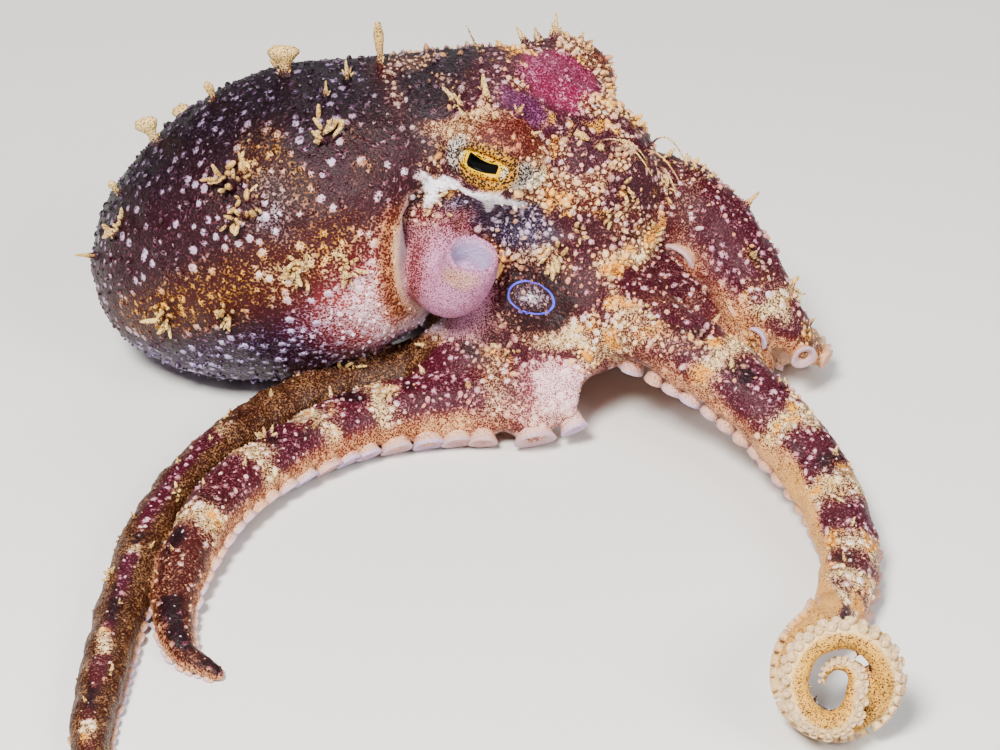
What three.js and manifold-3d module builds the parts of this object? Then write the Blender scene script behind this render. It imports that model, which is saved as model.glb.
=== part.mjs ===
// A small reef octopus at rest on level ground: head raised, arms spread, one arm tip coiled.
// Millimetres, +Z up, +X the way the head faces, +Y the animal's left.
// Each sub-part is its own solid. Where two would meet, one is cut back by a thin clearance.
import * as THREE from 'three';
import Module from 'manifold-3d';
import { mergeVertices } from 'three/addons/utils/BufferGeometryUtils.js';

const wasm = await Module();
wasm.setup();

// ---- driving dimensions ------------------------------------------------------------------
const gap = 0.3;                // clearance between neighbouring pieces
const armSides = 8;             // faces round an arm
const armStep = 3.9;            // spacing of the rings along an arm
const coilStep = 1.9;
const mantleSides = 20;
const mantleStations = 11;
const headSides = 12;
const crownSides = 16;

const mantle = {
  length: 48.8,
  width: 34,
  height: 34.2,
  centre: [-34.6, 16.6, 18.5],
  yaw: 15,                      // the axis turns to the animal's left toward the head
  pitch: 28,                    // and climbs toward the head
  blunt: 0.08,                  // how much fuller the front half is than the rear
};
const rim = -16.5;               // the mantle's front edge stands at this x
const slit = 1.5;               // mantle opening: width of the space round the neck
const slitTop = 27;             // the mantle is joined to the nape above this height

const head = {
  neck: { centre: [-19.4, 23.6, 26.9], size: [24.6, 22.4, 23.4] },
  skull: { centre: [-12, 27.4, 29.2], size: [21, 18.6, 20.4] },
  brow: { centre: [-3.8, 28.8, 25.6], size: [17.5, 18, 18.5] },
  tilt: 25,                     // nose-down turn of the skull and brow
};
const eye = {
  radius: 4.1,
  mid: [-9.8, 28, 31.8],        // between the centres of the two eye domes
  spread: 16.8,
  dome: { right: 5.7, left: 6.2 },
  gaze: [0.3, 0.94, 0.1],       // forward, outward, upward
  proud: 0.45,                  // how far the eyeball shows beyond its dome
};

const crown = {
  top: [-5, 27.4, 22],
  foot: [-1.6, 26, 4.6],
  tilt: 18,                     // the foot's front edge is raised by this turn
  radii: [8.6, 9.5, 10.4, 11.2, 11.3, 10],
};

const funnel = {
  route: [
    [-19.6, 20.8, 22.6], [-16, 16.2, 19.6], [-12.3, 13.4, 17.7], [-9.9, 12.6, 19.9],
    [-8.8, 11.9, 22.9],
  ],
  radii: [5.8, 5, 3.9, 3.2, 2.9],
  bore: 2,
  depth: 4,
};

// Arm routes: where the middle line passes (x, y, z) and the half-width there, crown to tip.
// Right arms are r1 (front) to r4 (rear), left arms l1 to l4.
const routes = {
  r1: [
    [-2, 31, 21, 5.2], [4.6, 35.4, 21.4, 5.6], [10.6, 36, 17.6, 5], [15.6, 34.6, 13.4, 4.2],
    [19, 34.4, 9, 3.5], [20, 37.6, 5, 3], [17.6, 42.6, 2.9, 2.7], [13.2, 48, 2.2, 2.35],
    [8.2, 54.4, 1.7, 1.9], [4.4, 61, 1.4, 1.6], [0.2, 67, 1.1, 1.3], [-4.4, 72, 0.8, 1],
    [-8.6, 74, 0.5, 0.5],
  ],
  r2: [
    [1.6, 23.6, 13.6, 5.2], [9.4, 19.8, 13.4, 4.7], [17.4, 18.4, 11.2, 4.2],
    [25.4, 15.2, 8.4, 3.8], [33.2, 9.4, 5.8, 3.5], [38.8, 1.2, 4, 3.1],
    [41, -7, 3.4, 2.75], [41.2, -13.6, 5, 2.3],
  ],
  r3: [
    [0.6, 20.6, 7.6, 3.2], [0.2, 17.6, 5.8, 4.3], [-3.4, 14.7, 4.7, 4.6], [-11.4, 10.8, 3.8, 4],
    [-19, 3.6, 3.6, 3.6], [-23.2, -6, 3.6, 3.2], [-24.6, -16.4, 3.6, 2.9],
    [-23.2, -26.6, 3, 2.6], [-20.2, -34.6, 2.1, 2], [-16, -39.6, 1.3, 1.4], [-10.8, -40.8, 0.6, 0.7],
  ],
  r4: [
    [-3, 23, 5.4, 4.5], [-12.6, 19, 3.9, 4], [-22.8, 11.9, 3.2, 3.6], [-29, 1.4, 2.8, 3.1],
    [-31, -10.6, 2.4, 2.7], [-29.6, -22.6, 2.2, 2.5], [-25.6, -35, 2.2, 2.45],
    [-20.8, -46.6, 1.9, 2.2], [-16.2, -56.4, 1.6, 1.9], [-10.4, -63, 1.1, 1.35], [-3.8, -65, 0.6, 0.6],
  ],
  l1: [
    [-1, 33, 18.4, 4.8], [1, 40.6, 15.4, 4.4], [1.6, 47.4, 10.6, 4], [0.2, 54, 6, 3.5],
    [-3.6, 60, 3.3, 3.1], [-9.6, 64.6, 2.5, 2.8], [-17, 67, 2.1, 2.45], [-24.6, 68.6, 1.8, 2.1],
    [-31.4, 71.8, 1.5, 1.8], [-35.4, 77, 1.1, 1.4], [-33, 81.4, 0.8, 1], [-29, 80.8, 0.5, 0.5],
  ],
  l2: [
    [-4, 32, 10, 4.7], [-8.6, 41.6, 8, 4.4], [-15.4, 48.6, 5.4, 4.1], [-23.6, 54.6, 3.6, 3.7],
    [-32.6, 58.6, 2.9, 3.3], [-42, 61.4, 2.5, 2.9], [-51, 63.6, 2.1, 2.5], [-59, 67.2, 1.8, 2.1],
    [-64, 73, 1.4, 1.7], [-62.6, 79, 1, 1.3], [-57.6, 80.4, 0.8, 0.9], [-54.6, 77.4, 0.5, 0.5],
  ],
  l3: [
    [-5, 31, 6, 4.6], [-13.6, 37.6, 4.6, 4.3], [-22.2, 43.2, 3.6, 3.9], [-31.6, 47.2, 3.1, 3.4],
    [-41, 49.6, 2.7, 3], [-50, 51.8, 2.3, 2.6], [-58.6, 52.8, 1.9, 2.2], [-65.2, 49.8, 1.5, 1.8],
    [-67, 44.2, 1.1, 1.4], [-63.6, 40.4, 0.8, 1], [-60, 42.2, 0.5, 0.5],
  ],
  l4: [
    [-5, 27.6, 4.6, 4.3], [-13.8, 30.4, 3.8, 4], [-23, 34, 3.2, 3.6], [-32.6, 37.2, 2.8, 3.2],
    [-42, 39.4, 2.4, 2.8], [-50.4, 40.4, 2, 2.4], [-56.6, 37.4, 1.6, 1.9], [-59, 32, 1.2, 1.5],
    [-57.2, 26.8, 0.9, 1.1], [-53.4, 25.6, 0.5, 0.5],
  ],
};
const neighbours = ['r1', 'r2', 'r3', 'r4', 'l4', 'l3', 'l2', 'l1'];
const partings = { usual: [0.34, 0.67], r2: [0.27, 0.52, 0.8], l4: [0.5] };
const lengthNames = {
  usual: ['base', 'middle', 'tip'],
  r2: ['base', 'middle', 'coil', 'tip'],
  l4: ['base', 'tip'],
};

// The end of arm r2 is a flat spiral stood on its rim and leant back.
const coil = {
  centre: [45.5, -22.3, 5.8],
  facing: 25,                   // the way its flat side faces, turned from -Y toward +X
  lean: 30,
  start: 140, turns: 780,       // degrees; it winds from its upper left side down and round
  stride: 25,                   // turn between two route points
  outer: 4.55, inner: 1.6,      // radius of the middle line before and after the dive
  dive: [460, 560],             // turn over which it drops to the inner radius
  ahead: 3.9,                   // the rest lies this far in front of the first stretch
  step: [130, 260],             // turn over which it moves forward
  sink: 1.2, sunk: [540, 700],  // the inner turn then lies a little back again
  behind: 2.4, settle: 75,      // the arm comes in from this far behind, by this turn
  thick: 1.8, slim: 1.4, tip: 0.45,     // half-width at the start, at the dive, at the end
  roll: 32,                     // length over which the arm rolls its suckers outward
};

// Fleshy points (papillae): where they stand on the mantle, as the share of the half-length
// from its middle toward the head and the turn round the axis from the top toward the right,
// then length and half-width at the root.
const mantlePapillae = [
  [-0.29, 10, 3, 0.9], [0.04, 4, 2.4, 0.8], [0.4, 1, 3, 1.3], [0.78, -5, 5.4, 0.9],
  [0.16, 49, 3.2, 1.2], [-0.56, 42, 2.2, 1.1], [0.58, 40, 2.2, 1], [0.25, 88, 2.4, 1.1],
  [0.46, 97, 2.2, 1], [-0.47, 88, 2.4, 1], [-0.17, 94, 2.2, 0.9],
  [0.16, -49, 3.2, 1.2], [-0.56, -42, 2.2, 1.1], [0.5, -62, 2.4, 0.9], [-0.1, -96, 2.2, 1],
];
const perk = 0.6;               // how far those on top bend from the skin toward the vertical
// On each eye dome: the way out from the dome's centre (forward, outward, upward), then
// length and half-width at the root.
const domePapillae = [
  [[-0.65, 0.1, 0.75], 2.8, 0.7], [[-0.1, 0.15, 1], 3.2, 0.8], [[0.5, 0.1, 0.85], 2.2, 0.6],
];

// ---- small helpers -----------------------------------------------------------------------
const radians = THREE.MathUtils.degToRad;
const mix = THREE.MathUtils.lerp;
const smooth = THREE.MathUtils.smoothstep;
const vec = ([x, y, z]) => new THREE.Vector3(x, y, z);
const up = new THREE.Vector3(0, 0, 1);
const count = (n, make) => Array.from({ length: n }, (_, i) => make(i));
const turned = (yaw, pitch) => new THREE.Quaternion()
  .setFromEuler(new THREE.Euler(0, -radians(pitch), radians(yaw), 'ZYX'));

function solidFrom(geometry) {
  const bare = geometry.clone();
  bare.deleteAttribute('normal');
  bare.deleteAttribute('uv');
  const merged = mergeVertices(bare, 1e-4);
  return new wasm.Manifold(new wasm.Mesh({
    numProp: 3,
    vertProperties: new Float32Array(merged.attributes.position.array),
    triVerts: new Uint32Array(merged.index.array),
  }));
}

// A closed skin through rings of equal point count, each end a fan to its own middle.
// Its faces are turned outward whichever way round the rings run.
function loft(rings) {
  const around = rings[0].length;
  const corners = rings.flat();
  const faces = [];
  for (let ring = 0; ring + 1 < rings.length; ring++) {
    for (let k = 0; k < around; k++) {
      const a = ring * around + k;
      const b = ring * around + (k + 1) % around;
      faces.push(a, b, b + around, a, b + around, a + around);
    }
  }
  for (const ring of [0, rings.length - 1]) {
    const middle = new THREE.Vector3();
    rings[ring].forEach((corner) => middle.addScaledVector(corner, 1 / around));
    corners.push(middle);
    for (let k = 0; k < around; k++) {
      const a = ring * around + k;
      const b = ring * around + (k + 1) % around;
      faces.push(corners.length - 1, ...(ring ? [a, b] : [b, a]));
    }
  }
  const geometry = new THREE.BufferGeometry().setFromPoints(corners);
  geometry.setIndex(faces);
  const solid = solidFrom(geometry);
  if (solid.volume() > 0) return solid;
  geometry.setIndex(faces.reverse());
  return solidFrom(geometry);
}

// A ring of points round a middle, on two half-axes.
function ring(middle, across, rise, sides, grow = 0, turn = 0) {
  const spread = (axis) => axis.clone().setLength(axis.length() + grow);
  const [a, b] = [spread(across), spread(rise)];
  return count(sides, (k) => {
    const angle = 2 * Math.PI * (k + turn) / sides;
    return middle.clone().addScaledVector(a, Math.cos(angle)).addScaledVector(b, Math.sin(angle));
  });
}

function ellipsoid(centre, size, turn, sides, grow = 0) {
  const ball = new THREE.SphereGeometry(0.5, sides, sides / 2);
  ball.rotateX(Math.PI / 2);
  ball.scale(...size.map((side) => side + 2 * grow));
  ball.applyQuaternion(turn);
  ball.translate(...centre);
  return solidFrom(ball);
}

// Of a cut solid, only its largest body is kept, or the one that reaches a given point.
function largest(solid) {
  return solid.decompose().sort((a, b) => b.volume() - a.volume())[0];
}

function reaching(solid, point) {
  const distance = (piece) => {
    const { min, max } = piece.boundingBox();
    return new THREE.Box3(vec(min), vec(max)).distanceToPoint(point);
  };
  const pieces = solid.decompose().filter((piece) => piece.volume() > 0.5);
  return pieces.sort((a, b) => distance(a) - distance(b))[0];
}

// ---- mantle ------------------------------------------------------------------------------
const mantleTurn = turned(mantle.yaw, mantle.pitch);

// A point of the sac's skin: along is -1 at the rear tip and 1 at the front.
function mantlePoint(along, angle, grow = 0) {
  const girth = Math.sqrt(1 - along * along) * (1 + mantle.blunt * along);
  return new THREE.Vector3(
    along * (mantle.length / 2 + grow),
    Math.cos(angle) * girth * (mantle.width / 2 + grow),
    Math.sin(angle) * girth * (mantle.height / 2 + grow),
  ).applyQuaternion(mantleTurn).add(vec(mantle.centre));
}

function mantleSac(grow = 0) {
  return loft(count(mantleStations, (i) => {
    const along = -Math.cos(Math.PI * (i + 0.6) / (mantleStations + 0.2));
    return count(mantleSides, (k) => mantlePoint(along, 2 * Math.PI * k / mantleSides, grow));
  }));
}

// A tapering fleshy point, rooted just inside the skin.
function papilla(root, direction, length, half) {
  const out = direction.clone().normalize();
  const across = new THREE.Vector3().crossVectors(out, Math.abs(out.z) > 0.9 ? vec([1, 0, 0]) : up);
  across.normalize();
  const rise = new THREE.Vector3().crossVectors(out, across);
  const shape = [[-1, 1], [length * 0.4, 0.62], [length, 0.36]];
  return loft(shape.map(([reach, share]) => ring(
    root.clone().addScaledVector(out, reach),
    across.clone().multiplyScalar(half * share),
    rise.clone().multiplyScalar(half * share),
    4,
  )));
}

function mantleShape() {
  let shape = mantleSac();
  for (const [along, turn, length, half] of mantlePapillae) {
    const angle = radians(90 + turn);
    const root = mantlePoint(along, angle);
    const out = root.clone().sub(mantlePoint(along, angle, -2)).normalize();
    out.lerp(up, perk * Math.max(0, out.z));
    shape = shape.add(papilla(root, out, length, half));
  }
  return shape;
}

// ---- head, eyes and funnel ---------------------------------------------------------------
const headTurn = turned(0, -head.tilt);
const sides = { right: -1, left: 1 };
const domeAt = (side) => vec(eye.mid).add(vec([0, sides[side] * eye.spread / 2, 0]));

function eyeball(side, grow = 0) {
  const gaze = vec([eye.gaze[0], sides[side] * eye.gaze[1], eye.gaze[2]]).normalize();
  const centre = domeAt(side).addScaledVector(gaze, eye.dome[side] + eye.proud - eye.radius);
  const size = Array(3).fill(2 * eye.radius);
  return ellipsoid(centre.toArray(), size, headTurn, headSides, grow);
}

const neckShape = (grow) => ellipsoid(
  head.neck.centre, head.neck.size, mantleTurn, headSides, grow);

function headShape(grow = 0) {
  let shape = neckShape(grow);
  for (const { centre, size } of [head.skull, head.brow]) {
    shape = shape.add(ellipsoid(centre, size, headTurn, headSides, grow));
  }
  for (const side of ['right', 'left']) {
    const size = Array(3).fill(2 * eye.dome[side]);
    shape = shape.add(ellipsoid(domeAt(side).toArray(), size, headTurn, headSides, grow));
  }
  return shape;
}

function headWithPapillae() {
  let shape = headShape();
  for (const side of ['right', 'left']) {
    for (const [[forward, outward, upward], length, half] of domePapillae) {
      const out = vec([forward, sides[side] * outward, upward]).normalize();
      const root = domeAt(side).addScaledVector(out, eye.dome[side]);
      shape = shape.add(papilla(root, out, length, half));
    }
  }
  return shape;
}

function funnelShape(grow = 0) {
  const line = new THREE.CatmullRomCurve3(funnel.route.map(vec));
  const steps = 9;
  const tube = (from, radiusAt) => loft(count(steps + 1, (i) => {
    const share = mix(from, 1, i / steps);
    const tangent = line.getTangentAt(share);
    const across = new THREE.Vector3().crossVectors(tangent, up).normalize();
    const rise = new THREE.Vector3().crossVectors(across, tangent);
    const radius = radiusAt(share);
    const end = from && i === steps ? 1 : 0;
    return ring(line.getPointAt(share).addScaledVector(tangent, end), across.multiplyScalar(radius),
      rise.multiplyScalar(radius), 14);
  }));
  const last = funnel.radii.length - 1;
  const outer = tube(0, (share) => {
    const place = Math.min(share * last, last - 1e-6);
    const base = Math.floor(place);
    return mix(funnel.radii[base], funnel.radii[base + 1], place - base) + grow;
  });
  if (grow) return outer;
  return outer.subtract(tube(1 - funnel.depth / line.getLength(), () => funnel.bore));
}

function crownShape(grow = 0) {
  const [top, foot] = [vec(crown.top), vec(crown.foot)];
  const last = crown.radii.length - 1;
  return loft(crown.radii.map((radius, i) => {
    const middle = top.clone().lerp(foot, i / last);
    const lean = radians(crown.tilt) * i / last;
    const across = vec([Math.cos(lean), 0, Math.sin(lean)]);
    const end = (i === 0) - (i === last);
    middle.z += end * grow;
    return ring(middle, across.multiplyScalar(radius), vec([0, -radius, 0]), crownSides, grow);
  }));
}

// ---- arms --------------------------------------------------------------------------------
// The spiral's axes: right and high lie in its plane, front looks out of it.
const spiral = (() => {
  const [facing, lean] = [radians(coil.facing), radians(coil.lean)];
  const right = vec([Math.cos(facing), Math.sin(facing), 0]);
  const front = vec([
    Math.sin(facing) * Math.cos(lean), -Math.cos(facing) * Math.cos(lean), Math.sin(lean)]);
  return { right, front, high: new THREE.Vector3().crossVectors(front, right) };
})();

function spiralPoints() {
  const steps = Math.round(coil.turns / coil.stride);
  return count(steps + 1, (i) => {
    const turn = coil.turns * i / steps;
    const angle = radians(coil.start + turn);
    const radius = mix(coil.outer, coil.inner, smooth(turn, ...coil.dive));
    const [dives] = coil.dive;
    const half = turn < dives
      ? mix(coil.thick, coil.slim, turn / dives)
      : mix(coil.slim, coil.tip, (turn - dives) / (coil.turns - dives));
    const still = Math.max(0, 1 - turn / coil.settle);
    const forward = coil.ahead * smooth(turn, ...coil.step)
      - coil.sink * smooth(turn, ...coil.sunk) - coil.behind * still * still;
    const place = vec(coil.centre)
      .addScaledVector(spiral.right, radius * Math.cos(angle))
      .addScaledVector(spiral.high, radius * Math.sin(angle))
      .addScaledVector(spiral.front, forward);
    return [...place.toArray(), half];
  });
}

// A route as a curve that also carries the half-width and the way the arm's back faces.
function armRoute(name) {
  const points = name === 'r2' ? [...routes.r2, ...spiralPoints()] : routes[name];
  const line = new THREE.CatmullRomCurve3(points.map(vec), false, 'centripetal');
  line.arcLengthDivisions = 60 * points.length;
  const lengths = line.getLengths();
  const reached = (i) => lengths[Math.round(i / (points.length - 1) * line.arcLengthDivisions)];
  const knots = points.map((point, i) => ({ at: reached(i), half: point[3] }));
  const coilStart = name === 'r2' ? knots[routes.r2.length].at : Infinity;
  return {
    coilStart,
    total: line.getLength(),
    place: (length) => line.getPointAt(length / line.getLength()),
    tangent: (length) => line.getTangentAt(length / line.getLength()),
    half: (length) => {
      const next = Math.max(1, knots.findIndex((knot) => knot.at >= length - 1e-3));
      const [a, b] = [knots[next - 1], knots[next]];
      return mix(a.half, b.half, (length - a.at) / (b.at - a.at));
    },
    back: (length) => {
      const inward = vec(coil.centre).sub(line.getPointAt(length / line.getLength())).normalize();
      return up.clone().lerp(inward, smooth(length, coilStart - coil.roll, coilStart));
    },
  };
}
const arms = Object.fromEntries(neighbours.map((name) => [name, armRoute(name)]));

// One ring of an arm: rounded on its back, flatter on the side that bears the suckers.
function armRing(arm, length, grow) {
  const tangent = arm.tangent(length);
  const across = new THREE.Vector3().crossVectors(tangent, arm.back(length)).normalize();
  const back = new THREE.Vector3().crossVectors(across, tangent);
  const half = arm.half(length);
  return ring(arm.place(length), across.setLength(half), back.setLength(half * 0.92),
    armSides, grow, 0.5);
}

function armLength(arm, from, to, grow = 0) {
  const spacing = from < arm.coilStart - armStep ? armStep : coilStep;
  const steps = Math.max(3, Math.round((to - from) / spacing));
  return loft(count(steps + 1, (i) => armRing(arm, mix(from, to, i / steps), grow)));
}

// ---- putting the animal together ---------------------------------------------------------
const finish = (colour, roughness) => new THREE.MeshStandardMaterial({
  color: colour, roughness, metalness: 0 });
const looks = {
  mantle: finish('#7a3f55', 0.4),
  head: finish('#8a5a55', 0.4),
  arm: finish('#8f5058', 0.42),
  crown: finish('#96626a', 0.4),
  funnel: finish('#c9a0a8', 0.35),
  eye: finish('#1c130e', 0.1),
};

const ground = (() => {
  const slab = new THREE.BoxGeometry(400, 400, 40);
  slab.translate(0, 0, -20);
  return solidFrom(slab);
})();

const solids = new Map();
const eyes = { eye_right: eyeball('right'), eye_left: eyeball('left') };
const sockets = eyeball('right', gap).add(eyeball('left', gap));
const funnelSpace = funnelShape(gap);
const headSpace = headShape(gap);
const crownSpace = crownShape(gap);
const opening = neckShape(slit + gap).trimByPlane([0, 0, -1], -slitTop);

const sac = mantleShape().trimByPlane([-1, 0, 0], -rim);
solids.set('mantle', sac.subtract(headSpace).subtract(opening).subtract(funnelSpace));
solids.set('head', headWithPapillae().subtract(sockets).subtract(funnelSpace));
solids.set('eye_right', eyes.eye_right);
solids.set('eye_left', eyes.eye_left);
solids.set('funnel', funnelShape());
solids.set('crown', crownShape().subtract(headSpace).subtract(funnelSpace));

// Arms: each is cut back by the body's other pieces, and by the arms before it in the ring.
const taken = crownSpace.add(headSpace).add(mantleSac(gap));
const whole = (name, grow) => armLength(arms[name], 0, arms[name].total, grow);
neighbours.forEach((name, i) => {
  const arm = arms[name];
  const before = neighbours.slice(0, i).map((other) => whole(other, gap));
  const cuts = [0, ...(partings[name] || partings.usual), 1].map((share) => share * arm.total);
  (lengthNames[name] || lengthNames.usual).forEach((part, k) => {
    const from = cuts[k] + (k ? gap / 2 : 0);
    const to = cuts[k + 1] - (k + 2 < cuts.length ? gap / 2 : 0);
    let solid = armLength(arm, from, to).subtract(taken);
    before.forEach((other) => { solid = solid.subtract(other); });
    if (k === 0) solid = reaching(solid, arm.place(to));
    solids.set(`arm_${name}_${part}`, solid);
  });
});

const lookOf = (name) => looks[name.split('_')[0]] || looks.head;
const body = new THREE.Group();
for (const [name, solid] of solids) {
  const result = largest(solid.subtract(ground)).getMesh();
  const geometry = new THREE.BufferGeometry();
  geometry.setAttribute('position', new THREE.BufferAttribute(result.vertProperties, 3));
  geometry.setIndex(new THREE.BufferAttribute(result.triVerts, 1));
  const mesh = new THREE.Mesh(geometry, lookOf(name));
  mesh.name = name;
  body.add(mesh);
}

// The origin is the middle of the animal's box, on the ground.
const box = new THREE.Box3().setFromObject(body);
const middle = box.getCenter(new THREE.Vector3());
body.position.set(-middle.x, -middle.y, -box.min.z);
const octopus = new THREE.Group();
octopus.add(body);
export default octopus;
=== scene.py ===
# Looks for a small ocellate octopus at rest: one seamless skin, eyes, suckers and skin points.
# Lengths are millimetres unless a name says otherwise; objects are made in metres.
import math
import bpy
import numpy as np
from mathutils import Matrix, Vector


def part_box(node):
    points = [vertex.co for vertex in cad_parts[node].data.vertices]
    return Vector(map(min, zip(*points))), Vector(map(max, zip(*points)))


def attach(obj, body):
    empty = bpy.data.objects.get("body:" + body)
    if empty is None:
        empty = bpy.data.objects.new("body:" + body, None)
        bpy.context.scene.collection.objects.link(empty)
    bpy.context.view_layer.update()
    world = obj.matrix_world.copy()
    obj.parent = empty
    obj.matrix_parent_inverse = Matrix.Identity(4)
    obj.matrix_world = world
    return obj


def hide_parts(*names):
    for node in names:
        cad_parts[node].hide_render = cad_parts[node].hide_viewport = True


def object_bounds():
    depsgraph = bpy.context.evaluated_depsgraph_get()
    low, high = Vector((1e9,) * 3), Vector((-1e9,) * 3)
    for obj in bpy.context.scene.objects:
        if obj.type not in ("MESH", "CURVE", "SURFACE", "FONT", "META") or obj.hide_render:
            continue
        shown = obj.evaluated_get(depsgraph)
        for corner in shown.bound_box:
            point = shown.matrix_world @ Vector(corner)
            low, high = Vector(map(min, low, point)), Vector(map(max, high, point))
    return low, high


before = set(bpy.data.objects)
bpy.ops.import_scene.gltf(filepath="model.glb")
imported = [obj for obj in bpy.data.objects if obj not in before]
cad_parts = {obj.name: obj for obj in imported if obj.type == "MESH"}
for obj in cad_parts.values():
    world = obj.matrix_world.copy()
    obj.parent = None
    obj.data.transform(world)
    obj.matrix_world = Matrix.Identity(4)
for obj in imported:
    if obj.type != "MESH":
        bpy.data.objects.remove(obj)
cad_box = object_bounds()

import openvdb
from mathutils import Vector

MM = 0.001
VOXEL = 0.39
rng = np.random.default_rng(11)     # every random draw comes from here, in order

# ---- the part's own dimensions (as in its solids) ------------------------------------------
MANTLE = dict(length=48.8, width=34, height=34.2, centre=(-34.6, 16.6, 18.5),
              yaw=15, pitch=28, blunt=0.08)
RIM_X = -16.5
SLIT = 1.5
SLIT_TOP = 27.0
NECK = ((-19.4, 23.6, 26.9), (24.6, 22.4, 23.4))
SKULL = ((-12, 27.4, 29.2), (21, 18.6, 20.4))
BROW = ((-3.8, 28.8, 25.6), (17.5, 18, 18.5))
HEAD_TILT = 25
EYE = dict(radius=4.1, mid=(-9.8, 28, 31.8), spread=16.8, dome=dict(right=5.7, left=6.2),
           gaze=(0.3, 0.94, 0.1), proud=0.45)
CROWN = dict(top=(-5, 27.4, 22), foot=(-1.6, 26, 4.6), tilt=18,
             radii=(8.6, 9.5, 10.4, 11.2, 11.3, 10))
FUNNEL = dict(route=((-19.6, 20.8, 22.6), (-16, 16.2, 19.6), (-12.3, 13.4, 17.7),
                     (-9.9, 12.6, 19.9), (-8.8, 11.9, 22.9)),
              radii=(5.8, 5, 3.9, 3.2, 2.9), bore=2)
ROUTES = dict(
    r1=[(-2, 31, 21, 5.2), (4.6, 35.4, 21.4, 5.6), (10.6, 36, 17.6, 5), (15.6, 34.6, 13.4, 4.2),
        (19, 34.4, 9, 3.5), (20, 37.6, 5, 3), (17.6, 42.6, 2.9, 2.7), (13.2, 48, 2.2, 2.35),
        (8.2, 54.4, 1.7, 1.9), (4.4, 61, 1.4, 1.6), (0.2, 67, 1.1, 1.3), (-4.4, 72, 0.8, 1),
        (-8.6, 74, 0.5, 0.5)],
    r2=[(1.6, 23.6, 13.6, 5.2), (9.4, 19.8, 13.4, 4.7), (17.4, 18.4, 11.2, 4.2),
        (25.4, 15.2, 8.4, 3.8), (33.2, 9.4, 5.8, 3.5), (38.8, 1.2, 4, 3.1),
        (41, -7, 3.4, 2.75), (41.2, -13.6, 5, 2.3)],
    r3=[(0.6, 20.6, 7.6, 3.2), (0.2, 17.6, 5.8, 4.3), (-3.4, 14.7, 4.7, 4.6),
        (-11.4, 10.8, 3.8, 4), (-19, 3.6, 3.6, 3.6), (-23.2, -6, 3.6, 3.2),
        (-24.6, -16.4, 3.6, 2.9), (-23.2, -26.6, 3, 2.6), (-20.2, -34.6, 2.1, 2),
        (-16, -39.6, 1.3, 1.4), (-10.8, -40.8, 0.6, 0.7)],
    r4=[(-3, 23, 5.4, 4.5), (-12.6, 19, 3.9, 4), (-22.8, 11.9, 3.2, 3.6), (-29, 1.4, 2.8, 3.1),
        (-31, -10.6, 2.4, 2.7), (-29.6, -22.6, 2.2, 2.5), (-25.6, -35, 2.2, 2.45),
        (-20.8, -46.6, 1.9, 2.2), (-16.2, -56.4, 1.6, 1.9), (-10.4, -63, 1.1, 1.35),
        (-3.8, -65, 0.6, 0.6)],
    l1=[(-1, 33, 18.4, 4.8), (1, 40.6, 15.4, 4.4), (1.6, 47.4, 10.6, 4), (0.2, 54, 6, 3.5),
        (-3.6, 60, 3.3, 3.1), (-9.6, 64.6, 2.5, 2.8), (-17, 67, 2.1, 2.45),
        (-24.6, 68.6, 1.8, 2.1), (-31.4, 71.8, 1.5, 1.8), (-35.4, 77, 1.1, 1.4),
        (-33, 81.4, 0.8, 1), (-29, 80.8, 0.5, 0.5)],
    l2=[(-4, 32, 10, 4.7), (-8.6, 41.6, 8, 4.4), (-15.4, 48.6, 5.4, 4.1), (-23.6, 54.6, 3.6, 3.7),
        (-32.6, 58.6, 2.9, 3.3), (-42, 61.4, 2.5, 2.9), (-51, 63.6, 2.1, 2.5),
        (-59, 67.2, 1.8, 2.1), (-64, 73, 1.4, 1.7), (-62.6, 79, 1, 1.3), (-57.6, 80.4, 0.8, 0.9),
        (-54.6, 77.4, 0.5, 0.5)],
    l3=[(-5, 31, 6, 4.6), (-13.6, 37.6, 4.6, 4.3), (-22.2, 43.2, 3.6, 3.9),
        (-31.6, 47.2, 3.1, 3.4), (-41, 49.6, 2.7, 3), (-50, 51.8, 2.3, 2.6),
        (-58.6, 52.8, 1.9, 2.2), (-65.2, 49.8, 1.5, 1.8), (-67, 44.2, 1.1, 1.4),
        (-63.6, 40.4, 0.8, 1), (-60, 42.2, 0.5, 0.5)],
    l4=[(-5, 27.6, 4.6, 4.3), (-13.8, 30.4, 3.8, 4), (-23, 34, 3.2, 3.6), (-32.6, 37.2, 2.8, 3.2),
        (-42, 39.4, 2.4, 2.8), (-50.4, 40.4, 2, 2.4), (-56.6, 37.4, 1.6, 1.9),
        (-59, 32, 1.2, 1.5), (-57.2, 26.8, 0.9, 1.1), (-53.4, 25.6, 0.5, 0.5)],
)
# The coiled tip of the second right arm. Its angles are in degrees of turn: the spiral dives
# inward, steps ahead and sinks back over the turns that dive, step and sunk give.
COIL = dict(centre=(45.5, -22.3, 5.8), facing=25, lean=30, start=140, turns=780, stride=25,
            outer=4.55, inner=1.6, dive=(460, 560), ahead=3.9, step=(130, 260),
            sink=1.2, sunk=(540, 700), behind=2.4, settle=75,
            thick=1.8, slim=1.4, tip=0.45, roll=32)

# ---- dimensions of what only this script makes ---------------------------------------------
# Lids round each eyeball, and the half-length and half-height of the opening between them.
LID = dict(thick=0.5, long=2.9, tall=1.3, tilt=-16, ahead=-0.6)
# The false eyespot on the right web (the left one mirrors it): the half-axes of its ring, the
# ways along it (in x and z) and across it, and the half-sizes of the dark zone and its inside.
OCELLUS = dict(centre=(-3.9, 16.8, 16.2), ring=(2.6, 1.48), along=(0.97, -0.08),
               across=(0.08, 0.08, 0.9), zone=(5.8, 5, 4.6), inner=(2.3, 2.2, 1.35))
# A hollow below the web, between the second and third right arms.
HOLLOW = dict(centre=(8, 18.5, 4.5), size=(8, 5.5, 6.5))
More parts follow.
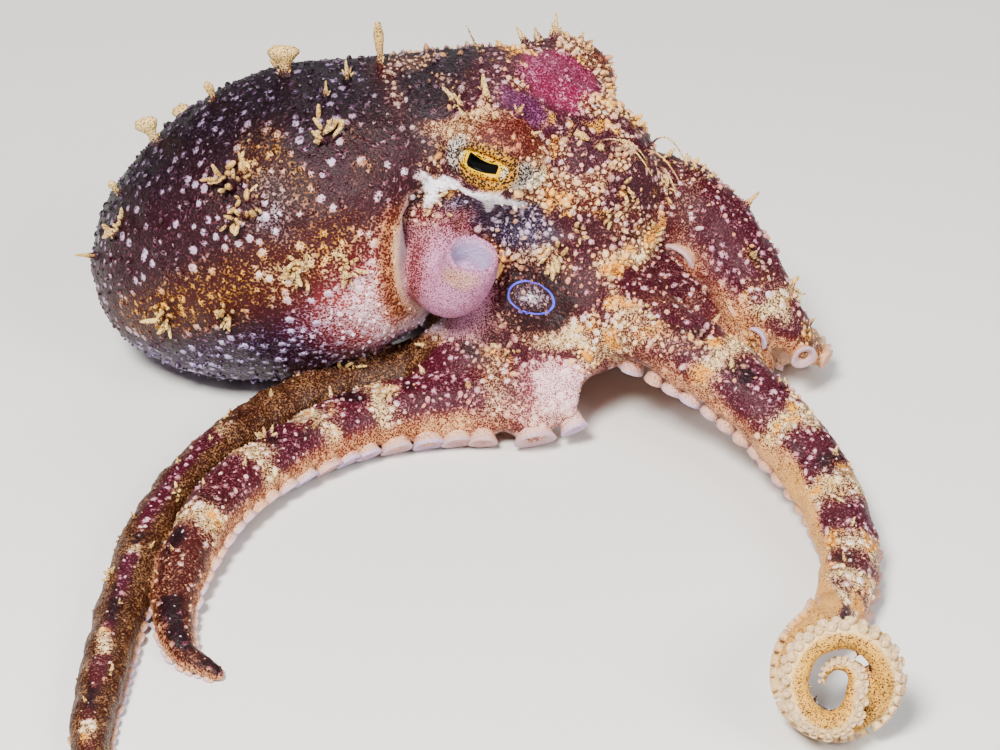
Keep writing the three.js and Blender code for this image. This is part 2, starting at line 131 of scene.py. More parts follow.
# Sheets of web that join the head to the third and fourth arms: two ends, each with a radius.
WEBS = (((-7.5, 19.5, 13.5, 4), (-16, 17, 5.5, 3)), ((-9, 18.5, 10, 3.5), (-13, 13.5, 4.5, 3)),
        ((9, 27.5, 12.4, 4.2), (17, 27.5, 5.6, 3)))
# Cream bands: places along an arm where they cross its back.
BANDS = dict(r1=(8, 23.5, 33, 42, 51, 60), r2=(8, 17.5, 28.5, 39, 48, 53.5, 58),
             r3=(11, 25, 33.5, 43, 55))
SUCKER = dict(share=0.4, height=0.34, spacing=1.04, row=36)
# Rows that show from the front stand further out on the flank: sign of the side, angle, share.
SHOWN = dict(r1=(1, 74, 0.42), r2=(1, 24, 0.29), r3=(-1, 54, 0.44), r4=(-1, 46, 0.38))
START = dict(r1=11, r2=7)     # where the rows begin, if not close to the mouth
MIDDLE_Y = 28.0               # the head's plane of symmetry
# The sole of an arm: how far it drops below the middle line, and how flat and wide it is.
SOLE = dict(drop=0.62, flat=0.75, wide=0.8)
# Boxes that hold the head, the mantle and the hollow below the web.
HEAD_BOX = ((-36, 8, 10), (8, 46, 44))
MANTLE_BOX = ((-64, -4, -1), (-8, 38, 40))
HOLLOW_BOX = ((-2, 8, 0), (24, 30, 16))

# ---- vector and field helpers --------------------------------------------------------------
def unit(v):
    v = np.asarray(v, float)
    return v / np.linalg.norm(v, axis=-1, keepdims=True)


def smoothstep(x, lo, hi):
    t = np.clip((x - lo) / (hi - lo), 0, 1)
    return t * t * (3 - 2 * t)


def turned(yaw, pitch):
    a, b = -math.radians(pitch), math.radians(yaw)
    about_y = np.array([[math.cos(a), 0, math.sin(a)], [0, 1, 0], [-math.sin(a), 0, math.cos(a)]])
    about_z = np.array([[math.cos(b), -math.sin(b), 0], [math.sin(b), math.cos(b), 0], [0, 0, 1]])
    return about_z @ about_y


def smin(a, b, k):
    h = np.maximum(k - np.abs(a - b), 0) / np.maximum(k, 1e-6)
    return np.minimum(a, b) - h * h * k * 0.25


def smax(a, b, k):
    return -smin(-a, -b, k)


SIDE = dict(right=-1, left=1)
MANTLE_TURN = turned(MANTLE["yaw"], MANTLE["pitch"])
HEAD_TURN = turned(0, -HEAD_TILT)


def from_angles(azimuth, elevation):
    """The way to something that stands at these angles, in degrees, as a camera does."""
    a, e = math.radians(azimuth), math.radians(elevation)
    return np.array([math.sin(a) * math.cos(e), -math.cos(a) * math.cos(e), math.sin(e)])


def dome_at(side):
    return np.array(EYE["mid"]) + (0, SIDE[side] * EYE["spread"] / 2, 0)


def gaze_of(side):
    g = EYE["gaze"]
    return unit([g[0], SIDE[side] * g[1], g[2]])


def eye_at(side):
    return dome_at(side) + gaze_of(side) * (EYE["dome"][side] + EYE["proud"] - EYE["radius"])


def on_side(place, y):
    """A place on the right side (y = -1), or its mirror on the left (y = 1)."""
    return np.array([place[0], MIDDLE_Y + y * (MIDDLE_Y - place[1]), place[2]])


# The solids are centred on the ground; the offset is read off the right eye's solid.
low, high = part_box("eye_right")
SHIFT = (np.array(low) + np.array(high)) / 2 / MM - eye_at("right")


def oval(q, r):
    """About how far places are from an ellipsoid round the origin."""
    k0 = np.linalg.norm(q / r, axis=-1)
    k1 = np.linalg.norm(q / (r * r), axis=-1)
    return k0 * (k0 - 1) / np.maximum(k1, 1e-6)


def ellipsoid(p, centre, size, turn):
    return oval((p - np.asarray(centre)) @ turn, np.asarray(size) / 2)


def in_mantle(p):
    return (p - np.asarray(MANTLE["centre"])) @ MANTLE_TURN


def mantle_field(p):
    q = in_mantle(p)
    a = q[..., 0] / (MANTLE["length"] / 2)
    wide = 1 + MANTLE["blunt"] * np.clip(a, -1, 1)
    return oval(q, np.stack([np.full_like(a, MANTLE["length"] / 2), MANTLE["width"] / 2 * wide,
                             MANTLE["height"] / 2 * wide], -1))


def head_parts(p):
    """Distances to the neck, skull, brow and both eye domes."""
    return [ellipsoid(p, *NECK, MANTLE_TURN), ellipsoid(p, *SKULL, HEAD_TURN),
            ellipsoid(p, *BROW, HEAD_TURN)] + [
        np.linalg.norm(p - dome_at(side), axis=-1) - EYE["dome"][side] for side in SIDE]


# ---- arms ----------------------------------------------------------------------------------
def spiral_points():
    """Knots of the coiled tip: a spiral that dives inward and steps forward as it turns."""
    facing = math.radians(COIL["facing"])
    right = np.array([math.cos(facing), math.sin(facing), 0])
    front = from_angles(COIL["facing"], COIL["lean"])
    high = np.cross(front, right)
    steps = round(COIL["turns"] / COIL["stride"])
    points = []
    for i in range(steps + 1):
        turn = COIL["turns"] * i / steps
        angle = math.radians(COIL["start"] + turn)
        radius = np.interp(smoothstep(turn, *COIL["dive"]), (0, 1), (COIL["outer"], COIL["inner"]))
        half = np.interp(turn, (0, COIL["dive"][0], COIL["turns"]),
                         (COIL["thick"], COIL["slim"], COIL["tip"]))
        still = max(0, 1 - turn / COIL["settle"])
        forward = (COIL["ahead"] * smoothstep(turn, *COIL["step"])
                   - COIL["sink"] * smoothstep(turn, *COIL["sunk"])
                   - COIL["behind"] * still * still)
        place = (np.array(COIL["centre"]) + right * radius * math.cos(angle)
                 + high * radius * math.sin(angle) + front * forward)
        points.append((*place, half))
    return points


PER_KNOT = 24


def centripetal(points, per=PER_KNOT):
    """A centripetal Catmull-Rom curve through the points, with `per` places from each."""
    p = np.array(points, float)[:, :3]
    p = np.vstack([2 * p[0] - p[1], p, 2 * p[-1] - p[-2]])
    out = []
    for i in range(1, len(p) - 2):
        a, b, c, d = p[i - 1:i + 3]
        ab, bc, cd = (max(1e-4, float(np.sum((v - u) ** 2)) ** 0.25)
                      for u, v in ((a, b), (b, c), (c, d)))
        t1 = ((b - a) / ab - (c - a) / (ab + bc) + (c - b) / bc) * bc
        t2 = ((c - b) / bc - (d - b) / (bc + cd) + (d - c) / cd) * bc
        for t in np.linspace(0, 1, per, endpoint=False):
            h = (2 * t**3 - 3 * t**2 + 1, t**3 - 2 * t**2 + t, -2 * t**3 + 3 * t**2, t**3 - t**2)
            out.append(h[0] * b + h[1] * t1 + h[2] * c + h[3] * t2)
    out.append(p[-2])
    return np.array(out)


class Arm:
    """A smooth middle line c with, at each sample, its run s from the root and the run that is
    left, its half-width, tangent t, back and side."""

    def __init__(self, name, step=0.5):
        knots = ROUTES[name] + (spiral_points() if name == "r2" else [])
        line = centripetal(knots)
        run = np.concatenate([[0], np.cumsum(np.linalg.norm(np.diff(line, axis=0), axis=1))])
        count = int(run[-1] / step)
        self.name = name
        self.s = np.linspace(0, run[-1], count + 1)
        self.total = run[-1]
        self.left = self.total - self.s
        self.c = np.stack([np.interp(self.s, run, line[:, k]) for k in range(3)], 1)
        knot_run = run[::PER_KNOT][:len(knots)]
        half = np.interp(self.s, knot_run, [k[3] for k in knots])
        pad = np.pad(half, 4, mode="edge")
        self.half = np.convolve(pad, np.ones(9) / 9, mode="valid")
        blunt = np.sqrt(np.maximum(0, self.left)) * 1.1
        self.half = np.minimum(self.half, np.maximum(0.35, blunt))
        self.t = unit(np.gradient(self.c, axis=0))
        self.coil = knot_run[len(ROUTES["r2"])] if name == "r2" else 1e9
        back = np.tile([0.0, 0.0, 1.0], (count + 1, 1))
        if name == "r2":
            inward = unit(np.array(COIL["centre"]) - self.c)
            mixing = smoothstep(self.s, self.coil - COIL["roll"], self.coil)[:, None]
            back = back * (1 - mixing) + inward * mixing
        side = unit(np.cross(self.t, back))
        for _ in range(3):
            wide = np.pad(side, ((1, 1), (0, 0)), mode="edge")
            side = unit(wide[:-2] + side + wide[2:])
        self.side = unit(side - self.t * np.sum(side * self.t, 1, keepdims=True))
        self.back = np.cross(self.side, self.t)

    def profile(self, sides=26):
        """Round back and flatter sole: across and rise for each angle, as shares of half."""
        a = np.linspace(0, 2 * np.pi, sides, endpoint=False)
        across, rise = np.sin(a), np.cos(a)
        sole = rise < 0
        rise = np.where(sole, -SOLE["drop"] * np.abs(rise) ** SOLE["flat"], 0.92 * rise)
        across = np.where(sole, np.sign(across) * np.abs(across) ** SOLE["wide"], across)
        return across, rise

    def mesh(self):
        across, rise = self.profile()
        rings = (self.c[:, None] + self.side[:, None] * (self.half[:, None] * across)[..., None]
                 + self.back[:, None] * (self.half[:, None] * rise)[..., None])
        return closed(rings, (self.c[0], self.c[-1] + self.t[-1] * 0.25))


ARMS = {name: Arm(name) for name in ROUTES}


# ---- the skin as one distance field --------------------------------------------------------
MARGIN = 2.4
lo = np.array(cad_box[0]) / MM - SHIFT - MARGIN
hi = np.array(cad_box[1]) / MM - SHIFT + MARGIN
lo = np.floor(lo / VOXEL) * VOXEL
lo[2] = -2 * VOXEL
SHAPE = tuple(np.ceil((hi - lo) / VOXEL).astype(int))
AXES = [lo[k] + VOXEL * np.arange(SHAPE[k]) for k in range(3)]
FAR = 9.0
field = np.full(SHAPE, FAR, np.float32)


def block(low_corner, high_corner):
    """The slices of the field between two corners, and the points there."""
    cut = tuple(slice(max(0, int((low_corner[k] - lo[k]) / VOXEL)),
                      max(1, min(SHAPE[k], int((high_corner[k] - lo[k]) / VOXEL) + 2)))
                for k in range(3))
    grid = np.meshgrid(*(AXES[k][cut[k]] for k in range(3)), indexing="ij")
    return cut, np.stack(grid, -1).astype(np.float32)


def box_of(points, reach):
    """The block round one point or several."""
    points = np.atleast_2d(points)
    return block(points.min(0) - reach, points.max(0) + reach)


def level_set(points, faces, cut, band=6.0):
    """Signed distance to a closed mesh over a block of the field."""
    local = (np.asarray(points) - lo) / VOXEL - [c.start for c in cut]
    grid = openvdb.FloatGrid.createLevelSetFromPolygons(
        local.astype(np.float32), triangles=faces.astype(np.uint32),
        transform=openvdb.createLinearTransform(1.0), halfWidth=float(band / VOXEL))
    out = np.empty([c.stop - c.start for c in cut], np.float32)
    grid.copyToArray(out)
    return out * VOXEL


def add(cut, values, k):
    field[cut] = smin(field[cut], values, k)


def carve(cut, values, k):
    field[cut] = smax(field[cut], -values, k)


def band(x, lo_edge, hi_edge, soft):
    """1 between two edges, with soft ends."""
    return smoothstep(x, lo_edge - soft, lo_edge + soft) * (
        1 - smoothstep(x, hi_edge - soft, hi_edge + soft))


def add_mesh(mesh, k):
    """Join the inside of a closed mesh to the field, with a fillet of size k."""
    cut, _ = box_of(mesh[0], 6)
    add(cut, level_set(*mesh, cut), k)


CROWN_TOP, CROWN_FOOT = (np.array(CROWN[end], float) for end in ("top", "foot"))


def crown_radius(share):
    """The crown's radius from its top (0) to its foot (1)."""
    radii = CROWN["radii"]
    return np.interp(share * (len(radii) - 1), range(len(radii)), radii)


def crown_mesh():
    """The web crown: a cone of rings from under the head to the mouth."""
    a = np.linspace(0, 2 * np.pi, 64, endpoint=False)
    rings = []
    for share in np.linspace(0, 1, 24):
        lean = math.radians(CROWN["tilt"]) * share
        across = np.array([math.cos(lean), 0, math.sin(lean)])
        middle = CROWN_TOP + (CROWN_FOOT - CROWN_TOP) * share
        ring = np.cos(a)[:, None] * across - np.sin(a)[:, None] * np.array([0, 1, 0])
        rings.append(middle + crown_radius(share) * ring)
    return closed(np.array(rings))


def closed(rings, ends=None):
    """A closed mesh through rings, capped at both ends, faces outward."""
    n, m = rings.shape[:2]
    ends = ends or (rings[0].mean(0), rings[-1].mean(0))
    points = np.vstack([rings.reshape(-1, 3), *ends])
    i, last = np.arange(m), (n - 1) * m
    j = (i + 1) % m
    faces = []
    for a in range(0, last, m):
        faces += [np.stack([a + i, a + j, a + m + j], 1),
                  np.stack([a + i, a + m + j, a + m + i], 1)]
    faces.append(np.stack([np.full(m, n * m), j, i], 1))
    faces.append(np.stack([np.full(m, n * m + 1), last + i, last + j], 1))
    faces = np.vstack(faces)
    v = points[faces]
    volume = np.einsum("ij,ij->i", v[:, 0], np.cross(v[:, 1], v[:, 2])).sum()
    return points, faces if volume > 0 else faces[:, ::-1]


def tube(line, radii, sides=40):
    """A closed round tube along a line."""
    t = unit(np.gradient(line, axis=0))
    across = unit(np.cross(t, [0, 0, 1.0]))
    rise = np.cross(across, t)
    a = np.linspace(0, 2 * np.pi, sides, endpoint=False)
    rings = line[:, None] + radii[:, None, None] * (
        np.cos(a)[None, :, None] * across[:, None] + np.sin(a)[None, :, None] * rise[:, None])
    return closed(rings)


FUNNEL_LINE = centripetal(FUNNEL["route"], 16)
FUNNEL_RADII = np.interp(np.linspace(0, 4, len(FUNNEL_LINE)), range(5), FUNNEL["radii"])
FUNNEL_END, FUNNEL_OUT = FUNNEL_LINE[-1], unit(FUNNEL_LINE[-1] - FUNNEL_LINE[-2])


# ---- patterns on points --------------------------------------------------------------------
CELLS = 32
LATTICE = rng.random((CELLS,) * 3)


def cloud(p, size, layers=2):
    """Smooth noise from 0 to 1, with features about `size` across."""
    total, share, q = 0, 1.0, np.asarray(p) / size
    for _ in range(layers):
        base = np.floor(q).astype(int)
        f = q - base
        f = f * f * (3 - 2 * f)
        for corner in np.ndindex(2, 2, 2):
            i = (base + corner) % CELLS
            total = total + share * LATTICE[i[:, 0], i[:, 1], i[:, 2]] * np.prod(
                np.where(corner, f, 1 - f), 1)
        share *= 0.5
        q = q * 2 + 5.3
    return total / (2 - 2 * share)


def srgb(text):
    """A colour as seen on a screen, such as "5f2432", in linear values."""
    c = np.array([int(text[k:k + 2], 16) for k in (0, 2, 4)]) / 255
    return np.where(c <= 0.04045, c / 12.92, ((c + 0.055) / 1.055) ** 2.4)


# ---- where a point lies on the body --------------------------------------------------------
NAMES = list(ARMS)
RUNS = {name: np.concatenate([getattr(a, name) for a in ARMS.values()])
        for name in ("c", "half", "side", "back", "s", "left")}
RUNS["arm"] = np.concatenate([np.full(len(a.s), k) for k, a in enumerate(ARMS.values())])


def near_line(p, line, radii, chunk=20000):
    """For each point: the index of the sample it is nearest to, and how far outside it is."""
    index, gap = [], []
    size = (line ** 2).sum(1)
    for i in range(0, len(p), chunk):
        q = p[i:i + chunk]
        d = np.sqrt(np.maximum((q ** 2).sum(1)[:, None] - 2 * q @ line.T + size, 0)) - radii
        k = d.argmin(1)
        index.append(k)
        gap.append(d[np.arange(len(q)), k])
    return np.concatenate(index), np.concatenate(gap)


def crown_gap(p):
    """How far points are outside the crown."""
    q, axis = p - CROWN_TOP, unit(CROWN_FOOT - CROWN_TOP)
    length = np.linalg.norm(CROWN_FOOT - CROWN_TOP)
    along = q @ axis / length
    out = np.linalg.norm(q - (q @ axis)[:, None] * axis, axis=1) - crown_radius(along)
    return np.maximum(out, length * np.maximum(-along, along - 1))


def mantle_place(p):
    """Along (-1 rear, 1 front) and turn (degrees from the top, positive on the right)."""
    q = in_mantle(p)
    turn = np.degrees(np.arctan2(-q[:, 1] / MANTLE["width"], q[:, 2] / MANTLE["height"]))
    return q[:, 0] / (MANTLE["length"] / 2), turn


# Arms of the two white stars below each eye: place along the head, height, half-length,
# half-width and slope in degrees.
STARS = ((-13.8, 29.2, 2.0, 1.0, 10), (-15.0, 30.1, 1.6, 0.6, 135), (-14.6, 27.7, 1.9, 0.6, 64),
         (-12.2, 29.8, 1.7, 0.7, 15), (-10.3, 29.2, 1.5, 0.45, -15), (-8.0, 28.6, 1.7, 1.1, -20),
         (-7.1, 29.7, 1.5, 0.55, 50), (-8.7, 27.0, 1.9, 0.65, 70), (-6.5, 27.5, 1.9, 0.65, -50))


class Spots:
    """What the painting needs to know of each point: its region, arm place and eye place."""

    def __init__(self, p):
        self.p = p
        k, arm_gap = near_line(p, RUNS["c"], RUNS["half"])
        self.s, self.left, self.half, self.arm = (RUNS[n][k] for n in ("s", "left", "half", "arm"))
        v = p - RUNS["c"][k]
        self.side = (v * RUNS["side"][k]).sum(1)
        self.low = np.degrees(np.arctan2(np.abs(self.side), (v * RUNS["back"][k]).sum(1)))
        _, spout = near_line(p, FUNNEL_LINE, FUNNEL_RADII)
        head = np.minimum.reduce(head_parts(p))
        in_slit = (SLIT + 0.3 - ellipsoid(p, *NECK, MANTLE_TURN)) * (p[:, 2] < SLIT_TOP + 1)
        sac = np.maximum.reduce([mantle_field(p), p[:, 0] - RIM_X, in_slit])
        gaps = np.stack([sac, head, crown_gap(p), spout, arm_gap])
        near = np.exp(-np.clip(gaps - gaps.min(0), 0, 12) / 0.5)
        near /= near.sum(0)
        self.mantle, self.head, self.crown, self.funnel, self.arms = near
        self.along, self.turn = mantle_place(p)
        self.cloud = {size: cloud(p, size) for size in (1.6, 4, 9)}

    def near(self, place, radius, soft=0.45, rough=0.5):
        """1 within a blotch with an uneven edge round a place, falling to 0 outside."""
        d = np.linalg.norm((self.p - np.asarray(place)) / np.asarray(radius), axis=1)
        d = d + rough * (self.cloud[1.6] - 0.5) + rough * 0.7 * (self.cloud[4] - 0.5)
        return 1 - smoothstep(d, 1 - soft, 1 + soft * 0.4)

    def white_stars(self, side):
        """1 on the white stars below an eye."""
        x, z = self.p[:, 0], self.p[:, 2]
        gaps = []
        for x0, z0, long, wide, slope in STARS:
            c, s = math.cos(math.radians(slope)), math.sin(math.radians(slope))
            u, v = (x - x0) * c + (z - z0) * s, (z - z0) * c - (x - x0) * s
            gaps.append(np.sqrt((u / long) ** 2 + (v / wide) ** 2))
        d = np.min(gaps, 0) + 0.7 * (self.cloud[1.6] - 0.5)
        own_side = smoothstep((self.p[:, 1] - MIDDLE_Y) * SIDE[side], 8, 10)
        return self.head * own_side * (1 - smoothstep(d, 0.75, 1.1))

    def eye(self, side):
        """Place before an eye: forward, upward and outward of the eyeball's centre."""
        return np.stack([(self.p - eye_at(side)) @ a for a in eye_axes(side)], 1)


def eye_axes(side):
    """Along the slit (forward), across it (upward) and outward."""
    gaze = gaze_of(side)
    ahead = unit(np.array([1.0, 0, 0]) - gaze * gaze[0])
    above = np.cross(gaze, ahead) * -SIDE[side]
    above = above if above[2] > 0 else -above
    tilt = math.radians(LID["tilt"])
    return (ahead * math.cos(tilt) + above * math.sin(tilt),
            above * math.cos(tilt) - ahead * math.sin(tilt), gaze)


# ---- markings ------------------------------------------------------------------------------
# Skin colour is two layers: a pale layer below, and dark pigment dots over it that are wide
# open where the skin is dark. Each point carries both colours and how open the dots are.
INK, MAROON, RUST, GOLD = (srgb(c) for c in ("2b1222", "49171f", "7a331c", "e9a53a"))
CREAM, SHELL, WHITE = (srgb(c) for c in ("f0d3a2", "f6e2d2", "f4f1f6"))
# Powers that the two layers are taken to, so that they stay rich under soft light.
DEEPEN = dict(under=1.2, chroma=1.4)


class Paint:
    """Layers of markings on points: the colours of the pale layer and of the dots, how far the
    dots are open, how strongly pale star spots break the dark, and how fine the dots are."""

    def __init__(self, n):
        self.values = dict(under=np.tile(CREAM, (n, 1)), chroma=np.tile(MAROON, (n, 1)),
                           dark=np.full(n, 0.8), spots=np.full(n, 0.5), fine=np.full(n, 1.0))

    def lay(self, mask, *given, **named):
        """Lay values over what is there; colours are linear, or as seen on a screen."""
        for name, value in (*zip(self.values, given), *named.items()):
            m = mask[:, None] if name in ("under", "chroma") else mask
            value = srgb(value) if isinstance(value, str) else value
            self.values[name] = self.values[name] * (1 - m) + value * m


def paint_body(at):
    paint = Paint(len(at.p))
    lay, c, near = paint.lay, at.cloud, at.near
    paint_mantle(at, lay, c)
    paint_head(at, lay, c, near)
    paint_arms(at, lay, c)
    paint_web(at, lay, c, near)
    # Funnel: smooth, pale, with fine red dots; a brownish lower lip and a lavender inside.
    lay(at.funnel, "c490b0", "80283c", 0.46, 0.0, 0.9)
    depth = (at.p - FUNNEL_END) @ FUNNEL_OUT
    lay(at.funnel * smoothstep(at.p[:, 0], -13, -16), "c08284", "6e1c2e", 0.72)
    axis_gap = np.linalg.norm((at.p - FUNNEL_END) - depth[:, None] * FUNNEL_OUT, axis=1)
    inside = at.funnel * (1 - smoothstep(axis_gap, 1.9, 2.5)) * smoothstep(depth, -5, -2)
    lay(inside, "bdb2d2", "a394bb", 0.12)
    lay(at.funnel * near(FUNNEL_END + (-0.6, -2.2, -2.2), (2.6, 1.6, 1.4), 0.6, 0.2), "cfa79c",
        "8c4c2c", 0.44)
    paint_eyes(at, lay)
    return paint.values


def paint_mantle(at, lay, c):
    m, along, turn = at.mantle, at.along, np.abs(at.turn)
    front = smoothstep(along, -0.1, 0.75)
    lay(m, "8a4a66", "431226", 0.93, 0.92, 0.0)
    top = 1 - smoothstep(turn, 18, 62)
    lay(m * top, "6e4c72", INK, 0.95, 0.75)
    # A warm patch high on the flank, a gold band below, bluish spots under it, a pale rim.
    warm = smoothstep(turn, 40, 80) * smoothstep(along, 0.1, 0.6)
    lay(m * warm, "b07078", "4a142a", 0.95, 0.95)
    lay(m * band(turn, 34, 66, 12) * band(along, 0.1, 0.75, 0.2) * smoothstep(c[4], 0.35, 0.6),
        "dca23c", MAROON, 0.9, 0.66)
    lay(m * band(turn, 74, 97, 8) * band(along, -0.75, 0.6, 0.16), "f0b234", "58181e", 0.9, 0.68)
    lay(m * smoothstep(turn, 98, 112) * (1 - smoothstep(along, 0.0, 0.5)), "ab98cc", "421432",
        0.86, 1.0)
    lay(m * smoothstep(turn, 80, 112) * front, "e2bcc4", "98343c", 0.66, 1.0)
    lay(m * smoothstep(turn, 94, 112) * smoothstep(along, 0.0, 0.5), "eccdd4", "b05048", 0.49, 0.5)
    lay(m * smoothstep(turn, 140, 160), "a995b8", "4f2330", 0.72)
    streak = band(along + (turn - 70) * 0.004, 0.14, 0.34, 0.1) * band(turn, 50, 86, 10)
    lay(m * streak * smoothstep(c[4], 0.3, 0.65), "a8909c", dark=0.8, spots=1.0)
    creamy = band(along, 0.1, 0.6, 0.12) * band(turn, 84, 93, 4)
    lay(m * creamy * smoothstep(c[1.6], 0.42, 0.66), CREAM, dark=0.55, spots=1.0)
    rim = smoothstep(at.p[:, 0], RIM_X - 1.9, RIM_X - 0.4) * (1 - smoothstep(at.p[:, 2], 26, 30))
    lay(m * rim, "d99c66", "6f2a18", 0.7, 0.3)
    lay(m * smoothstep(at.p[:, 0], RIM_X - 0.3, RIM_X) * (1 - smoothstep(at.p[:, 2], 24, 28)),
        "ecc8a4", dark=0.2)
    lay(m * rim * (1 - smoothstep(at.p[:, 2], 10, 15)), "dccce4", "9a6078", 0.3)
    # The sac's inner wall, seen through the slit, is plain.
    inner = smoothstep(-mantle_field(at.p), 0.8, 1.6)
    lay(m * inner, "a8979f", "7d6a70", 0.2, 0.0)


def paint_head(at, lay, c, near):
    h = at.head
    lay(h, "c88c88", "521430", 0.9, 0.8, 1.0)
    lay(h * smoothstep(c[4], 0.47, 0.6), "e6bc90", "641f22", 0.77, 0.9)
    lay(h * smoothstep(c[1.6], 0.6, 0.72), "efb04a", dark=0.62)
    nape = smoothstep(-at.p[:, 0], 11, 17) * (1 - 0.5 * smoothstep(c[4], 0.5, 0.7))
    lay(h * nape, "6e5566", INK, 0.9, 0.5)
    # Two smooth patches: magenta on the left brow, a smaller purple one nearer the right eye.
    lay(h * near((-7, 21, 36.6), (3.9, 2.2, 3.4), 0.4, 0.5), "b4709c", "62204c", 0.8, 0.2)
    lay(h * near((-6.2, 29.4, 37.2), (5.2, 6, 5), 0.3, 0.45), "d68ab0", "8a2452", 0.82, 0.24)
    for side, y in SIDE.items():
        # Dotted pink where the funnel leaves the head, slate shade below the eye.
        low = smoothstep(-at.p[:, 2], -27.5, -25) * smoothstep(-at.p[:, 0], 9.5, 12)
        lay(h * low, "c48a8a", "75202f", 0.66, 0.1)
        lay(h * low * smoothstep(c[1.6], 0.5, 0.62), "dcb09c", dark=0.72, spots=0.7)
        lay(h * near((-9, MIDDLE_Y + y * 12.4, 26.2), (6.5, 4, 2.6)), "a99cb4", "40304a", 0.78, 0.5)
        white = at.white_stars(side)
        lay(white, WHITE, "5c4c66", 0.06, 0.25)
        lay(white * smoothstep(c[1.6], 0.5, 0.62), dark=0.42)


def paint_arms(at, lay, c):
    a = at.arms
    on = {name: at.arm == k for k, name in enumerate(NAMES)}
    tip = 1 - smoothstep(at.left, 8, 40)
    lay(a, "c08090", "5c1630", 0.85, 0.8, 0.7)
    lay(a * tip, "c98f68", "54231c", 0.78)
    # Cream bands across the back, with darker squares between them.
    phase = np.sqrt(np.maximum(at.left, 0)) * 4.1 + at.arm * 1.7 + (c[4] - 0.5) * 4
    bands = smoothstep(np.sin(phase), 0.35, 0.95) * smoothstep(at.s, 6, 14)
    shift = at.s + (c[4] - 0.5) * 3 + (c[1.6] - 0.5) * 3
    for name, places in BANDS.items():
        own = sum(np.exp(-((shift - s) / 1.7) ** 2) for s in places)
        bands = np.where(on[name], np.clip(own * 1.2, 0, 1), bands)
    edge = at.low + (c[4] - 0.5) * 30
    dusky = (1 - bands) * (1 - smoothstep(edge, 30, 60)) * smoothstep(c[4], 0.5, 0.62)
    lay(a * dusky, "7c4254", "34101c", 0.93, 0.6)
    lay(a * bands, CREAM, "6a2a1e", 0.6, 1.0)
    lay(a * bands * smoothstep(c[1.6], 0.56, 0.68), GOLD, dark=0.5)
    # Sides below the back: orange dots on sand; the sole is pale.
    flank = smoothstep(edge, 62, 92)
    lay(a * flank, "dca97a", "7c3417", 0.6, 0.3)
    lay(a * smoothstep(edge, 100, 126), "e3b99c", "8f4c30", 0.42, 0.0)
    plain_arm = a * on["r4"] * smoothstep(at.s, 4, 10)
    all_round = np.maximum(smoothstep(edge, 8, 30), 1 - smoothstep(at.s, 34, 50))
    lay(plain_arm * all_round, "ae8258", "4c2616", 0.74, 0.15)
    facing = a * smoothstep(at.side / at.half, 0.05, 0.55)
    lay(facing * on["r1"] * smoothstep(c[4], 0.46, 0.6), "dfa960", "60221c", 0.72, 0.9)
    lay(facing * on["r2"] * smoothstep(at.s, 24, 36) * smoothstep(edge, 42, 62), "d9a660",
        "6b3a18", 0.42, 0.0)
    coiled = a * on["r2"] * smoothstep(at.s, 66, 74)
    lay(coiled * smoothstep(at.low, 42, 62), "deab4c", "6f4a1a", 0.5, 0.0)
    lay(coiled * smoothstep(at.low, 122, 150), "e6cfa4", dark=0.2)
    lay(coiled * (1 - smoothstep(at.low, 26, 52)), SHELL, "3e151c", 0.84)


def paint_web(at, lay, c, near):
    w = np.clip(at.crown + at.arms * (1 - smoothstep(at.s, 5, 16)), 0, 1)
    lay(w, "c4807c", "54142c", 0.9, 0.85, 0.9)
    lay(w * smoothstep(c[4], 0.5, 0.66), CREAM, "70301e", 0.66)
    lay(w * smoothstep(c[1.6] + c[4], 1.18, 1.32), GOLD, dark=0.5)
    # Below the mantle's front the web is smooth pinkish-brown, its own colour darkened partly as
    # painted shade from the mantle.
    shaded_right_front = smoothstep(at.p[:, 0], -6, -9) * smoothstep(-at.p[:, 1], -26, -20)
    lay(w * shaded_right_front * smoothstep(-at.p[:, 2], -17, -14), "a5736d", "4c2526", 0.66, 0.05)
    low = 1 - smoothstep(at.p[:, 2], 5, 9)
    lay(w * near((-0.6, 16.4, 13.2), (5.4, 4.4, 2.6)), CREAM, "6a2a22", 0.53, 1.0)
    # Nearer the mantle the smooth web is darker still: painted shade under the mantle's front.
    lay(w * near((-10, 17, 11.6), (4.6, 4.6, 4.6)), "a06c6e", "4a1e26", 0.76, 0.05)
    lay(w * low * smoothstep(c[4], 0.3, 0.5), "e9c0b4", "8c3a44", 0.55)
    for y in SIDE.values():
        centre = on_side(OCELLUS["centre"], y)
        shade = near((-6.4, MIDDLE_Y + y * 9.6, 23.8), (4.6, 4.4, 3.6)) * (1 - at.funnel)
        lay(shade, "b4a0b8", "3e2e48", 0.8, 0.8)
        pink = near((0.8, MIDDLE_Y + y * 14, 7.6), (5.5, 4, 3.4))
        lay(w * pink, "eeccce", "9c4052", 0.46, 0.6)
        round_it = near(centre, OCELLUS["zone"], 0.35, 0.25)
        lay(round_it, "b0706c", "3a101c", 0.93, 0.35)
        inside = near(centre, OCELLUS["inner"], 0.2, 0.15)
        lay(inside, "b496a4", "3c1828", 0.74, 0.4)
        lay(near(centre, (1.0, 1.0, 0.6), 0.9, 0.6), WHITE, dark=0.45)


